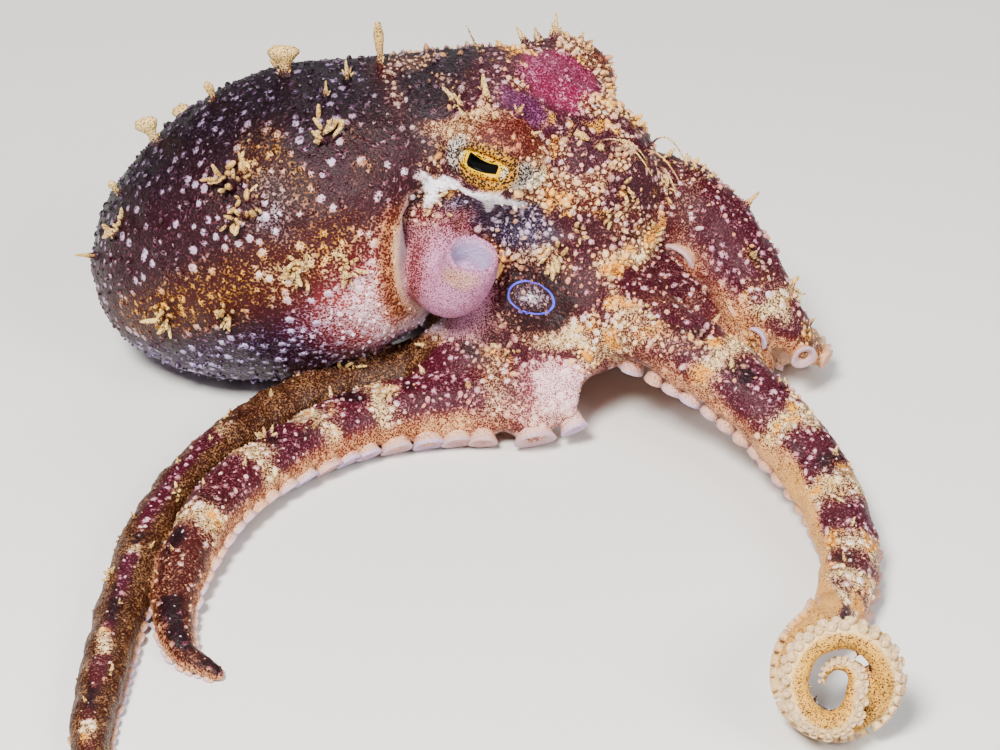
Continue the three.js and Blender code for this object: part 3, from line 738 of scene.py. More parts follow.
def paint_eyes(at, lay):
    """Rings round each eye opening: red-brown brow, gold net at the slit, white at both ends."""
    for side in SIDE:
        u, v, w = at.eye(side).T
        d = np.sqrt((u / 4.4) ** 2 + (v / 3.0) ** 2)
        front = (w > 0) * at.head
        sector = np.abs(np.arctan2(v * 1.3, u))
        ends = np.maximum(1 - smoothstep(sector, 0.35, 0.7), smoothstep(sector, 2.3, 2.7))
        brow = front * (1 - smoothstep(d, 1.6, 2.2)) * smoothstep(v, -0.6, 0.8)
        lay(brow, "dfb78c", "6a2a18", 0.64, 0.6)
        red = brow * (1 - smoothstep(np.hypot((u - 1.4) / 3.8, (v - 3.4) / 2.4), 0.6, 1.2))
        lay(red, "ca8468", "621812", 0.8)
        # A cream streak with dark dots runs forward from the eye.
        streak = front * (1 - smoothstep(np.hypot((u - 4.4) / 4.4, (v + 0.5) / 1.5), 0.6, 1.15))
        lay(streak, "ecdcbc", "3c1a16", 0.56, 0.4, 0.3)
        close = front * (1 - smoothstep(d, 0.7, 1.0))
        lay(close, "e6a41c", "22100a", 0.66, 0.0, 0.0)
        lay(front * band(d, 0.8, 1.08, 0.14) * ends, "dcd2cc", "1d1418", 0.6, 0.0, 0.0)


# ---- rows of suckers -----------------------------------------------------------------------
def sucker_row(arm, sign, row, share):
    """Roots, outward ways, radii and heights of one row."""
    out = []
    s = START.get(arm.name, 5.0)
    s += 0.5 * (sign > 0) * SUCKER["spacing"] * 2 * share * arm.half[10]
    while s < arm.total - 0.8:
        i = min(int(np.searchsorted(arm.s, s)), len(arm.s) - 1)
        half = arm.half[i]
        curled = smoothstep(s, arm.coil - 6, arm.coil + 4)
        a = math.pi - math.radians(row * (1 - curled) + 8 * curled)
        rise = -SOLE["drop"] * abs(math.cos(a)) ** SOLE["flat"]
        across = abs(math.sin(a)) ** SOLE["wide"]
        root = arm.c[i] + half * (sign * across * arm.side[i] + rise * arm.back[i])
        way = unit(sign * math.sin(a) * 0.75 * arm.side[i] + math.cos(a) * arm.back[i])
        radius = (share + (0.31 - share) * curled) * half * (1 + 0.09 * rng.normal())
        out.append((root, way, max(radius, 0.12), SUCKER["height"] * half))
        s += SUCKER["spacing"] * 2 * radius
    return out


ROWS = {name: [] for name in ARMS}
for name, arm in ARMS.items():
    for sign in (-1, 1):
        row, share = SUCKER["row"], SUCKER["share"]
        if name in SHOWN and SHOWN[name][0] == sign:
            row, share = SHOWN[name][1:]
        ROWS[name] += sucker_row(arm, sign, row, share)


# ---- composing the field -------------------------------------------------------------------
def cone_gap(p, a, b, ra, rb):
    """Distance to a rod from a to b with round ends of two radii."""
    a, b = np.asarray(a, float), np.asarray(b, float)
    t = np.clip((p - a) @ (b - a) / ((b - a) @ (b - a)), 0, 1)
    return np.linalg.norm(p - a - t[..., None] * (b - a), axis=-1) - ra - (rb - ra) * t


# Head: neck, skull, brow and eye domes flow into each other.
cut, p = block(*HEAD_BOX)
head, *others = head_parts(p)
for part, k in zip(others, (4.0, 4.0, 3.0, 3.0)):
    head = smin(head, part, k)
add(cut, head, 0.01)

# Crown, then the arms, with the webs between them as deep fillets near the mouth.
add_mesh(crown_mesh(), 3.5)
for arm in ARMS.values():
    points, faces = arm.mesh()
    cut, p = box_of(points, 6)
    near = np.linalg.norm((p - CROWN_FOOT - (0, 0, 3)) * (1, 1, 0.8), axis=-1)
    add(cut, level_set(points, faces, cut), 0.5 + 4.5 * (1 - smoothstep(near, 12, 24)))

for top, foot in WEBS:
    for y in SIDE.values():
        a, b = on_side(top, y), on_side(foot, y)
        cut, p = box_of(np.stack([a, b]), 7)
        add(cut, cone_gap(p, a, b, top[3], foot[3]), 2.5)
# Short stalks that carry the larger suckers.
for rows in ROWS.values():
    for root, way, radius, height in rows:
        if radius > 0.45:
            cut, p = box_of(root, 2.2 * radius + 1.5)
            inner_end, outer_end = root - way * radius, root - way * 0.3 * height
            add(cut, cone_gap(p, inner_end, outer_end, radius, 0.85 * radius), 0.6 * radius)

# Funnel: a soft spout from under the head, open at its end.
add_mesh(tube(FUNNEL_LINE, FUNNEL_RADII), 1.6)
bore_line = np.vstack([FUNNEL_LINE[-20:], FUNNEL_END + FUNNEL_OUT * 2])
points, faces = tube(bore_line, np.linspace(FUNNEL["bore"] * 0.9, FUNNEL["bore"] * 1.12, 21))
cut, p = box_of(points, 3)
carve(cut, level_set(points, faces, cut, 4), 0.9)

# Mantle: a sac cut off at its front rim, with a slit round the neck up to the nape.
cut, p = block(*MANTLE_BOX)
sac = mantle_field(p)
neck = ellipsoid(p, *NECK, MANTLE_TURN)
sac = smax(sac, p[..., 0] - RIM_X, 1.4)
open_below = smoothstep(p[..., 2], SLIT_TOP + 2.5, SLIT_TOP - 1)
inner = np.maximum(neck - SLIT - 0.3, RIM_X - 6 - p[..., 0])
sac = smax(sac, -(inner + 6 * (1 - open_below)), 0.8)
add(cut, sac, 0.3 + 4.0 * smoothstep(p[..., 2], SLIT_TOP, SLIT_TOP + 4))

# Eye openings: lids stand round each eyeball and leave a lens-shaped opening.
for side in SIDE:
    centre = eye_at(side)
    ahead, above, gaze = eye_axes(side)
    cut, p = box_of(centre, 8)
    q = p - centre
    ball = np.linalg.norm(q, axis=-1)
    add(cut, ball - EYE["radius"] - LID["thick"], 1.6)
    u, v, w = q @ ahead - LID["ahead"], q @ above, q @ gaze
    lens = (np.sqrt((u / LID["long"]) ** 2 + (v / LID["tall"]) ** 2) - 1) * LID["tall"]
    carve(cut, np.maximum(lens, 1.0 - w), 0.5)
    carve(cut, ball - EYE["radius"] - 0.03, 0.1)

# The hollow leaves a lip at the web's edge.
cut, p = block(*HOLLOW_BOX)
hollow = np.linalg.norm((p - HOLLOW["centre"]) / HOLLOW["size"], axis=-1) - 1
carve(cut, hollow * min(HOLLOW["size"]), 1.2)

# The ground: small flats at one level.
cut, p = block(lo, (hi[0], hi[1], 2.0))
carve(cut, p[..., 2] - 0.03, 0.05)

NARROW = 2.5      # distances past this from the skin aren't needed
grid = openvdb.FloatGrid(NARROW)
grid.copyFromArray(np.clip(field, -NARROW, NARROW), tolerance=0.0)
verts, quads = grid.convertToQuads(isovalue=0)
verts = verts * VOXEL + lo


def mix_to(a, b, share):
    return a * (1 - share[:, None]) + b * share[:, None]


# ---- Blender objects -----------------------------------------------------------------------
def put(name, data):
    """A new object in the scene for a mesh, lamp or camera."""
    obj = bpy.data.objects.new(name, data)
    bpy.context.scene.collection.objects.link(obj)
    return obj


def mesh_of(name, points, faces):
    """A smooth mesh object from places in millimetres."""
    mesh = bpy.data.meshes.new(name)
    mesh.from_pydata((points + SHIFT) * MM, [], faces)
    mesh.shade_smooth()
    return put(name, mesh)


def dress(obj, look):
    """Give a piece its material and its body."""
    obj.data.materials.append(look)
    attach(obj, "root")


def normals_of(points, faces):
    """Mean outward direction at each point of a mesh of quads or triangles."""
    n = np.cross(points[faces[:, 2]] - points[faces[:, 0]],
                 points[faces[:, -1]] - points[faces[:, 1]])
    out = np.zeros_like(points)
    for corner in faces.T:
        np.add.at(out, corner, n)
    return unit(out + 1e-12)


def paint_attributes(obj, values):
    """The markings as the three colour attributes that the skin's material reads."""
    layers = {name: values[name] ** power for name, power in DEEPEN.items()}
    layers["plan"] = np.stack([values["dark"], values["spots"], values["fine"]], 1)
    for name, data in layers.items():
        rgba = np.ones((len(data), 4), np.float32)
        rgba[:, :3] = data
        obj.data.attributes.new(name, "FLOAT_COLOR", "POINT").data.foreach_set(
            "color", rgba.ravel())


normals = normals_of(verts, quads)
at = Spots(verts)
still = np.clip(at.funnel + sum(1 - smoothstep(np.linalg.norm(at.eye(side), axis=1), 4.2, 7)
                                for side in SIDE), 0, 1)
relief = 0.9 * (cloud(verts, 2.6, 3) - 0.5) * (1 - 0.9 * still)
relief *= smoothstep(verts[:, 2], 0.2, 1.5) * (0.35 + 0.65 * (1 - at.mantle * 0.5))
verts = verts + normals * relief[:, None]
for side in SIDE:
    verts = verts + normals * (0.5 * cloud(verts, 0.9) * at.white_stars(side))[:, None]
values = paint_body(at)
skin = mesh_of("skin", verts, quads.tolist())
paint_attributes(skin, values)
flesh = [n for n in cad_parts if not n.startswith("eye_")]
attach(skin, "root")
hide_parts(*flesh)


# ---- materials -----------------------------------------------------------------------------
class Wire:
    """A node's output that can be used in sums; numbers go straight into the next socket."""

    def __init__(self, socket):
        self.socket = socket

    @property
    def tree(self):
        return self.socket.node.id_data

    def node(self, kind, *inputs, **settings):
        return add_node(self.tree, kind, *inputs, **settings)

    def math(self, operation, *others):
        return self.node("ShaderNodeMath", self, *others, operation=operation)

    def __add__(self, other):
        return self.math("ADD", other)

    def __sub__(self, other):
        return self.math("SUBTRACT", other)

    def __mul__(self, other):
        return self.math("MULTIPLY", other)

    def __truediv__(self, other):
        return self.math("DIVIDE", other)

    def __neg__(self):
        return self.math("MULTIPLY", -1.0)

    def __abs__(self):
        return self.math("ABSOLUTE")

    def line(self, factor, base):
        """This value times a factor, plus a base."""
        return self.math("MULTIPLY_ADD", factor, base)

    def scaled(self, factor):
        return self.node("ShaderNodeVectorMath", self, factor, operation="SCALE")

    def over(self, low, high):
        """Smooth step of this value from low to high; low may be the larger."""
        back = not isinstance(low, Wire) and not isinstance(high, Wire) and low > high
        a, b = (high, low) if back else (low, high)
        out = self.node("ShaderNodeMapRange", self, a, b, 0.0, 1.0, interpolation_type="SMOOTHSTEP")
        return out.line(-1.0, 1.0) if back else out


def add_node(tree, kind, *inputs, output=0, **settings):
    node = tree.nodes.new(kind)
    for name, value in settings.items():
        setattr(node, name, value)
    sockets = [s for s in node.inputs if s.enabled]
    for socket, value in zip(sockets, inputs):
        if isinstance(value, Wire):
            tree.links.new(value.socket, socket)
        elif value is not None:
            socket.default_value = value
    return Wire([s for s in node.outputs if s.enabled][output])


def mixed(fac, a, b):
    """Colour a where fac is 0, b where it is 1."""
    a, b = ((*c, 1) if not isinstance(c, Wire) else c for c in (a, b))
    return fac.node("ShaderNodeMix", fac, a, b, data_type="RGBA")


def material(name, **fixed):
    m = bpy.data.materials.new(name)
    m.use_nodes = True
    shader = m.node_tree.nodes["Principled BSDF"]
    for socket, value in fixed.items():
        shader.inputs[socket.replace("_", " ")].default_value = value
    return m, m.node_tree, shader


def place_mm(tree):
    """The place of a surface point in millimetres."""
    return add_node(tree, "ShaderNodeTexCoord", output=3).scaled(1000.0)


def noise(p, scale, detail=2.0, output=0):
    return p.node("ShaderNodeTexNoise", p, scale, detail, output=output)


def cells(p, scale, output=0, spread=1.0):
    """Voronoi cells: output 0 is the distance to the nearest point, 1 its random colour."""
    return p.node("ShaderNodeTexVoronoi", p, scale, None, None, None, spread, output=output)


def attribute(tree, name, output=0):
    return add_node(tree, "ShaderNodeAttribute", attribute_name=name, output=output)


def split(wire):
    return [wire.node("ShaderNodeSeparateXYZ", wire, output=k) for k in range(3)]


def bumped(tree, shader, height):
    """Height in millimetres."""
    bump = tree.nodes.new("ShaderNodeBump")
    bump.inputs["Strength"].default_value = 1.0
    bump.inputs["Distance"].default_value = MM
    tree.links.new(height.socket, bump.inputs["Height"])
    tree.links.new(bump.outputs[0], shader.inputs["Normal"])


def skin_material():
    m, tree, shader = material("octopus_skin", Subsurface_Weight=0.06, Subsurface_Scale=0.0004,
                               Specular_IOR_Level=0.2)
    p = place_mm(tree)
    under, chroma, plan = (attribute(tree, n) for n in ("under", "chroma", "plan"))
    dark, spots, fine = split(plan)
    soft, fuzz = noise(p, 0.35, 3.0), noise(p, 2.6)
    # Star spots: pale granules about 1.4 mm apart on the sac and 1 mm apart elsewhere.
    wobble = fuzz.node("ShaderNodeVectorMath", noise(p, 1.6, output=1), (0.5, 0.5, 0.5),
                       operation="SUBTRACT")
    bent = wobble.node("ShaderNodeVectorMath", wobble, (0.3, 0.3, 0.3), p,
                       operation="MULTIPLY_ADD")
    layers = [(cells(bent, scale, 0, even), split(cells(bent, scale, 1, even))[0])
              for scale, even in ((0.74, 0.75), (1.05, 1.0))]
    d, pick = (a + (b - a) * fine for a, b in zip(*layers))
    size = pick.line(0.24, 0.3)
    star = (size - d).over(-0.05, 0.32) * spots * pick.line(0.5, 0.62)
    # Open pigment dots cover the pale layer; they close over stars and pale patches.
    opened = dark + (soft - 0.5) * 0.4 - star * 0.72
    reach = opened.line(0.74, 0.06)
    coarse, small = cells(p, 3.9), cells(p, 5.4)
    cover = (reach - coarse - (small - coarse) * fine).over(-0.1, 0.1)
    light = mixed(spots.over(0.6, 1.0) * 0.75, under, srgb("d9cfea"))
    pale = mixed((star * 1.5).over(0.35, 1.1) * 0.9, under, light)
    veiled = mixed(opened.over(0.3, 0.95) * 0.75, pale, chroma.scaled(1.7))
    colour = mixed(cover, veiled.scaled(fuzz.line(0.5, 0.74)), chroma.scaled(soft.line(1.0, 0.3)))
    colour = mixed(ocellus_ring(p), colour, srgb("4b4bd8"))
    tree.links.new(colour.socket, shader.inputs["Base Color"])
    tree.links.new(fuzz.line(0.25, 0.3).socket, shader.inputs["Roughness"])
    dome = d.over(0.42, 0.0)
    height = dome * spots * 0.22 + fuzz * 0.14 + noise(p, 6.0) * 0.08 - cover * 0.02
    bumped(tree, shader, height)
    return m


def ocellus_ring(p):
    """1 on the thin blue ring of each false eyespot."""
    x, y, z = split(p)
    middle = MIDDLE_Y + SHIFT[1]
    y = -abs(y - middle) + middle
    centre = np.array(OCELLUS["centre"]) + SHIFT
    x, y, z = x - centre[0], y - centre[1], z - centre[2]
    wave = (noise(p, 0.8) - 0.5) * 0.3
    (along, down), (ahead, out, up) = OCELLUS["along"], OCELLUS["across"]
    u = (x * along + z * down) / OCELLUS["ring"][0]
    v = (x * ahead + y * out + z * up) / OCELLUS["ring"][1]
    d = (u * u + v * v).math("SQRT") + wave * 0.35 - 1.0
    return abs(d).over(0.065, 0.03) * abs(y).over(10.0, 9.0)


# ---- granules: small domes over the skin, in its own material -------------------------------
def frames(n):
    """Two directions across each normal."""
    a = unit(np.cross(n, np.where(np.abs(n[:, 2:]) < 0.8, [[0, 0, 1.0]], [[1.0, 0, 0]])))
    return a, np.cross(n, a)


def scatter(points, gaps, order):
    """Greedy choice of points so that each keeps its own gap from those before it."""
    grid, kept = {}, []
    cell = float(gaps.max())
    for k in order:
        x, y, z = points[k]
        i, j, h = int(x // cell), int(y // cell), int(z // cell)
        near = [o for a in (-1, 0, 1) for b in (-1, 0, 1) for c in (-1, 0, 1)
                for o in grid.get((i + a, j + b, h + c), ())]
        limit = gaps[k] ** 2
        if all((points[o][0] - x) ** 2 + (points[o][1] - y) ** 2 + (points[o][2] - z) ** 2 > limit
               for o in near):
            grid.setdefault((i, j, h), []).append(k)
            kept.append(k)
    return np.array(kept)


def unwrap(at):
    """A place in the unit square for points of the skin, by region: sac, head, then arms."""
    sac = np.stack([0.02 + 0.15 * (at.along + 1), 0.5 + at.turn / 400], 1)
    around = np.arctan2(at.p[:, 1] - MIDDLE_Y, at.p[:, 2] - 18)
    top = np.stack([0.35 + 0.006 * (at.p[:, 0] + 32), 0.5 + around / 7], 1)
    runs = np.stack([0.63 + 0.045 * at.arm + 0.0002 * at.low * np.sign(at.side),
                     0.03 + 0.94 * at.s / (at.s + at.left)], 1)
    limb_or_top = np.where(at.arms[:, None] > 0.5, runs, top)
    return np.clip(np.where(at.mantle[:, None] > 0.5, sac, limb_or_top), 0.002, 0.998)


PATCH = 0.003     # width on the bake map of one granule, finger or sucker


def shell_faces(rings, sides):
    """Quads between rings that follow one another, and triangles up to one top point."""
    k = np.arange(sides)
    j = (k + 1) % sides
    last = (rings - 1) * sides
    quads = [np.stack([o + k, o + j, o + sides + j, o + sides + k], 1)
             for o in range(0, last, sides)]
    return np.concatenate(quads), np.stack([last + k, last + j, np.full(sides, last + sides)], 1)


def circle(sides):
    """Angles at even steps round a circle."""
    return np.arange(sides) * 2 * np.pi / sides


def bake_map(obj, places):
    """The UV map for baking, from one place for each point."""
    layer = obj.data.uv_layers.new(name="OFBake")
    index = np.empty(len(obj.data.loops), np.int32)
    obj.data.loops.foreach_get("vertex_index", index)
    layer.data.foreach_set("uv", places[index].astype(np.float32).ravel())


def take(values, index, repeat):
    """The markings of chosen points, each repeated for all points of its granule or sucker."""
    return {k: np.repeat(v[index], repeat, axis=0) for k, v in values.items()}


def granules(name, chosen, radii, heights, lift):
    """Rounded domes at skin points: rings from one sunk in the skin up to a top."""
    sides = 7
    profile = ((1.0, -0.3), (0.95, 0.4), (0.6, 0.86))
    root, n = verts[chosen], normals[chosen]
    a, b = frames(n)
    turn = rng.random((len(chosen), 1)) * 6.28
    a, b = np.cos(turn) * a + np.sin(turn) * b, np.cos(turn) * b - np.sin(turn) * a
    angle = turn + circle(sides)
    longer = 0.85 + 0.75 * rng.random((len(chosen), 1, 1)) ** 2
    spin = (np.cos(angle)[..., None] * a[:, None] * longer
            + np.sin(angle)[..., None] * b[:, None] / np.sqrt(longer))
    ragged = 1 + 0.36 * (rng.random((len(chosen), sides, 1)) - 0.5)
    lean = 0.6 * (rng.random((len(chosen), 1, 1)) - 0.5) * a[:, None]
    pointed = np.clip(1.7 * rng.random((len(chosen), 1, 1)) - 0.7, 0, 1)
    up_to = heights[:, None, None] * (1 + 0.9 * pointed)
    rings = [root[:, None] + spin * radii[:, None, None] * ragged * across
             * (1 - 0.55 * pointed * max(up, 0)) + (n[:, None] + lean) * up_to * up
             for across, up in profile]
    tip = root[:, None] + (n[:, None] + lean) * up_to
    points = np.concatenate(rings + [tip], 1)
    per = len(profile) * sides + 1
    walls, caps = shell_faces(len(profile), sides)
    starts = (np.arange(len(chosen)) * per)[:, None, None]
    faces = (starts + walls).reshape(-1, 4).tolist() + (starts + caps).reshape(-1, 3).tolist()
    obj = mesh_of(name, points.reshape(-1, 3), faces)
    tone = take(values, chosen, per)
    share = np.tile(np.append(np.repeat((0, 0.7, 1.0), sides), 1.0), len(chosen))
    strength = np.repeat(lift, per) * share
    hue = np.repeat(rng.random(len(chosen)), per)
    rough = np.repeat(rough_skin[chosen], per)
    tone["dark"] = np.clip(tone["dark"] - 0.9 * strength, 0.06, 1)
    warmth = np.clip(3 * (tone["under"][:, 0] - tone["under"][:, 2] - 0.15), 0, 1)
    for colour, much in ((WHITE, 0.62 * (1 - warmth) * (1 - rough * smoothstep(hue, 0.15, 0.35))),
                         (CREAM, 0.6 * np.clip(0.3 * rough + warmth, 0, 1)
                          * smoothstep(hue, 0.2, 0.5)),
                         (GOLD, 0.6 * rough * smoothstep(hue, 0.7, 0.85)),
                         (RUST, 0.4 * rough * (1 - smoothstep(hue, 0.08, 0.16)))):
        tone["under"] = mix_to(tone["under"], colour, much * strength)
    tone["spots"] = tone["spots"] * (1 - share)
    paint_attributes(obj, tone)
    local = np.concatenate([np.stack([np.cos(angle), np.sin(angle)], -1) * r for r, _ in profile]
                           + [np.zeros((len(chosen), 1, 2))], 1)
    places = unwrap_all[chosen][:, None] + PATCH / 2 * local
    bake_map(obj, places.reshape(-1, 2))
    dress(obj, SKIN_LOOK)


SKIN_LOOK = skin_material()
skin.data.materials.append(SKIN_LOOK)
unwrap_all = unwrap(at)
# Granules stand anywhere but near the ground, in the eyes, on smooth skin, inside the sac and
# low on the arms. They are closest on the head, web and arm roots.
clear = verts[:, 2] > 1.2
for side in SIDE:
    u, v, w = at.eye(side).T
    clear &= (w < 0) | ((u / 3.9) ** 2 + (v / 2.9) ** 2 > 1)
clear &= (at.funnel < 0.3) & (values["spots"] > 0.12)
clear &= ~((at.mantle > 0.4) & (mantle_field(verts) < -0.7))
clear &= ~((at.arms > 0.4) & (at.low > 78))
order = rng.permutation(np.flatnonzero(clear))
rough_skin = np.clip(at.head + at.crown + at.arms * (1 - smoothstep(at.s, 16, 34)), 0, 1)
sparse = 1 - smoothstep(at.cloud[4], 0.36, 0.56)
gaps = 1.22 - 0.52 * rough_skin * (1 - sparse) + sparse * (0.3 + 0.75 * rough_skin)
gaps -= 0.2 * (values["dark"] < 0.6) * (1 - at.arms)
gaps *= 0.7 + 0.6 * rng.random(len(verts))
picked = scatter(verts, gaps, order)
# Most granules are small; those on thin arms and on skin with few spots are smaller still.
small = rng.random(len(picked))
radii = (0.14 + 0.27 * small ** 2.8) * (1 + 0.2 * rough_skin[picked])
radii *= np.clip(0.55 + 0.12 * np.where(at.arms[picked] > 0.5, at.half[picked], 4), 0.5, 1.0)
radii *= np.clip(0.5 + values["spots"][picked], 0.6, 1.0) * (1 - 0.12 * at.arms[picked])
heights = radii * (0.6 + 0.8 * rng.random(len(picked)) * (0.3 + 0.7 * rough_skin[picked]))
lift = np.clip(1.7 * values["spots"][picked], 0, 1) * (0.45 + 0.55 * rng.random(len(picked)))
lift *= 1 - 0.6 * at.mantle[picked]
where = np.where(at.mantle[picked] > 0.5, 0, np.where(at.arms[picked] > 0.5, 2, 1))
for k, (part, slot) in enumerate((("mantle", "mantle_skin"), ("head", "head_skin"),
                                  ("arms", "arm_skin"))):
    one = where == k
    granules("granules_" + part, picked[one], radii[one], heights[one], lift[one])


# ---- papillae: fingers, clubs and branching sprigs ------------------------------------------
class Sprigs:
    """Many fingers of flesh in one mesh, each with its tone and its patch of the bake map."""
    SIDES, RINGS = 8, 9
    ASLANT = (0.31, 0.2, 0.93)      # a way that no finger follows, to start its sections from

    def __init__(self):
        self.points, self.faces, self.tones, self.places, self.roots = [], [], [], [], []
        self.count = 0

    def finger(self, root, way, length, half, profile=(1, 0.8, 0.6, 0.35), bend=(0, 0, 0),
               **more):
        """A tapered finger; profile is its half-width at even steps."""
        way = unit(way)
        t = np.linspace(0, 1, self.RINGS)
        line = (np.asarray(root) + way * length * t[:, None]
                + np.asarray(bend) * length * (t ** 2)[:, None])
        line[0] -= way * min(0.4, 0.3 * length)     # the foot is sunk in the skin
        self.stalk(line, half, profile, **more)

    def thread(self, root, course, arch, half):
        """A thin thread that arches up on its way along the course."""
        t = np.linspace(0, 1, self.RINGS)[:, None]
        line = root + t * np.asarray(course) + (0, 0, 4 * arch) * t * (1 - t)
        self.stalk(line, half, (1.6, 1, 0.9, 0.8, 0.5))

    def stalk(self, line, half, profile, flat=1.0, across=ASLANT, tone=0.0):
        """A ragged rod along a line, with its tone from foot to tip; flat widens it across."""
        t = np.linspace(0, 1, self.RINGS)
        along = unit(np.gradient(line, axis=0))
        b = unit(np.cross(along, across))
        a = np.cross(b, along)
        width = half * np.interp(t, np.linspace(0, 1, len(profile)), profile)
        angle = circle(self.SIDES)
        wide = 1 + (flat - 1) * t
        width = width[:, None, None] * (1 + 0.24 * (rng.random((self.RINGS, self.SIDES, 1)) - 0.5))
        rings = line[:, None] + width * (
            np.cos(angle)[None, :, None] * a[:, None] * wide[:, None, None]
            + np.sin(angle)[None, :, None] * b[:, None])
        top = line[-1] + along[-1] * half * profile[-1] * 0.7
        self.points.append(np.vstack([rings.reshape(-1, 3), top]))
        n, m = self.RINGS, self.SIDES
        for part in shell_faces(n, m):
            self.faces += (self.count + part).tolist()
        self.count += n * m + 1
        self.tones.append(np.append(np.repeat(t, m), 1.0) + tone)
        grid = np.stack(np.meshgrid(t, np.arange(m) / m, indexing="ij"), -1).reshape(-1, 2)
        self.places.append(np.vstack([grid, [1, 0.5]]) * PATCH)
        self.roots.append(np.repeat(line[:1], n * m + 1, 0))

    def build(self, name):
        points, roots = np.vstack(self.points), np.vstack(self.roots)
        obj = mesh_of(name, points, self.faces)
        spots = Spots(roots)
        body = paint_body(spots)
        share = np.concatenate(self.tones)
        n = len(points)
        pale = smoothstep(share, 0.05, 0.5)
        hue = np.repeat(rng.random(len(self.points)), [len(v) for v in self.points])[:, None]
        tan = srgb("f2d894") * hue + srgb("dcb470") * (1 - hue)
        tone = dict(under=mix_to(body["under"], tan, 0.9 * pale),
                    chroma=mix_to(body["chroma"], srgb("6e3c1c"), pale),
                    dark=body["dark"] * (1 - pale) + pale * 0.42,
                    spots=np.zeros(n), fine=np.ones(n))
        paint_attributes(obj, tone)
        bake_map(obj, np.clip(unwrap(spots) + np.vstack(self.places), 0, 1))
        dress(obj, SKIN_LOOK)


def scattered_way(way, spread):
    return unit(unit(way) + spread * rng.normal(size=3))


def club(sprigs, root, way, length, half):
    sprigs.finger(root, way, length, half, (1.0, 0.62, 0.55, 0.8, 1.05, 0.95, 0.6),
                  bend=0.12 * rng.normal(size=3), tone=0.1)
    for _ in range(3):
        sprigs.finger(root, scattered_way(way, 0.7), length * 0.3, half * 0.4)


def fan(sprigs, root, way, length, half):
    """One broad flat lobe with a frilled top on a narrow foot."""
    across = np.array([0.94, 0.3, 0.1])
    sprigs.finger(root, way, length, half, (1.0, 0.55, 0.5, 0.75, 0.95, 0.6), flat=2.4,
                  across=across, tone=0.1)
    for k in np.linspace(-1, 1, 6):
        sprigs.finger(root + unit(way) * length * 0.55, unit(way) * 1.1 + across * k,
                      length * rng.uniform(0.42, 0.56), half * 0.4, (0.8, 0.9, 1.1, 0.9), tone=0.3)
    for _ in range(5):
        sprigs.finger(root, scattered_way(way, 0.8), length * 0.35, half * 0.3)


def spike(sprigs, root, way, length, half, small=4):
    sprigs.finger(root, way, length, half, (1.25, 0.8, 0.55, 0.4, 0.3, 0.2),
                  bend=0.1 * rng.normal(size=3))
    for _ in range(small):
        sprigs.finger(root, scattered_way(way, 0.75), length * rng.uniform(0.3, 0.55), half * 0.45,
                      (1.1, 0.7, 0.35))


def sprig(sprigs, root, out, heading, size, lobes=11):
    """A cluster of blunt lobes strung along the heading, some of them standing up."""
    heading = unit(np.asarray(heading) - np.asarray(out) * np.dot(heading, out))
    other = np.cross(out, heading)
    for k in range(lobes):
        t = 2 * k / (lobes - 1) - 1
        foot = root + size * (0.42 * t * heading + 0.2 * rng.normal() * other)
        way = (out * rng.uniform(0.3, 1.0) + heading * (0.7 * t + 0.3 * rng.normal())
               + other * 0.55 * rng.normal())
        reach = rng.uniform(0.3, 0.8) * min(size, 3.6) ** 0.7
        sprigs.finger(foot, way, reach, 0.09 + reach * rng.uniform(0.09, 0.15),
                      (1.3, 1.0, 0.9, 1.0, 0.95, 0.55), bend=0.3 * rng.normal(size=3))


def on_skin(place):
    """The nearest skin point to a place, and the way out there."""
    k = int(np.linalg.norm(verts - np.asarray(place), axis=1).argmin())
    return verts[k], normals[k]


def mantle_skin(along, turn):
    angle = math.radians(90 + turn)
    girth = math.sqrt(1 - along * along) * (1 + MANTLE["blunt"] * along)
    local = np.array([along * MANTLE["length"] / 2, math.cos(angle) * girth * MANTLE["width"] / 2,
                      math.sin(angle) * girth * MANTLE["height"] / 2])
    place = MANTLE_TURN @ local + MANTLE["centre"]
    root, out = on_skin(place)
    up = np.array([0, 0, 1.0])
    return root, unit(out + 0.6 * max(0, out[2]) * (up - out))


mantle_sprigs = Sprigs()
# Along, turn, height and half-width of each, much as in the solids; then its form.
for along, turn, length, half, form in (
        (-0.29, 10, 3.2, 0.75, fan), (0.04, 4, 2.4, 0.55, club), (0.4, 1, 3.2, 0.95, fan),
        (0.67, 7, 2.4, 0.5, spike), (0.78, -5, 4.7, 0.58, club), (-0.56, 20, 1.8, 0.5, club),
        (-0.8, 40, 2.4, 0.5, spike), (0.6, 20, 2.0, 0.45, spike), (0.2, -30, 1.6, 0.5, club),
        (-0.35, -35, 2.6, 0.6, fan)):
    form(mantle_sprigs, *mantle_skin(along, turn), length, half)
# Sprigs in rows along the flanks: along, turn and size.
for along, turn, size in ((0.16, 47, 4.4), (0.13, 60, 4.4), (-0.56, 42, 2.6), (0.58, 40, 3.2),
                          (0.25, 88, 3), (0.46, 97, 2.8), (-0.47, 88, 2.6), (-0.17, 94, 2.4),
                          (0.16, -49, 4), (-0.56, -42, 2.4), (0.5, -62, 2.6), (-0.1, -96, 2.4)):
    root, out = mantle_skin(along, turn)
    sprig(mantle_sprigs, root, out, (0.1, 0, 0.8), size, lobes=10 + int(2 * size))
mantle_sprigs.build("papillae_mantle")

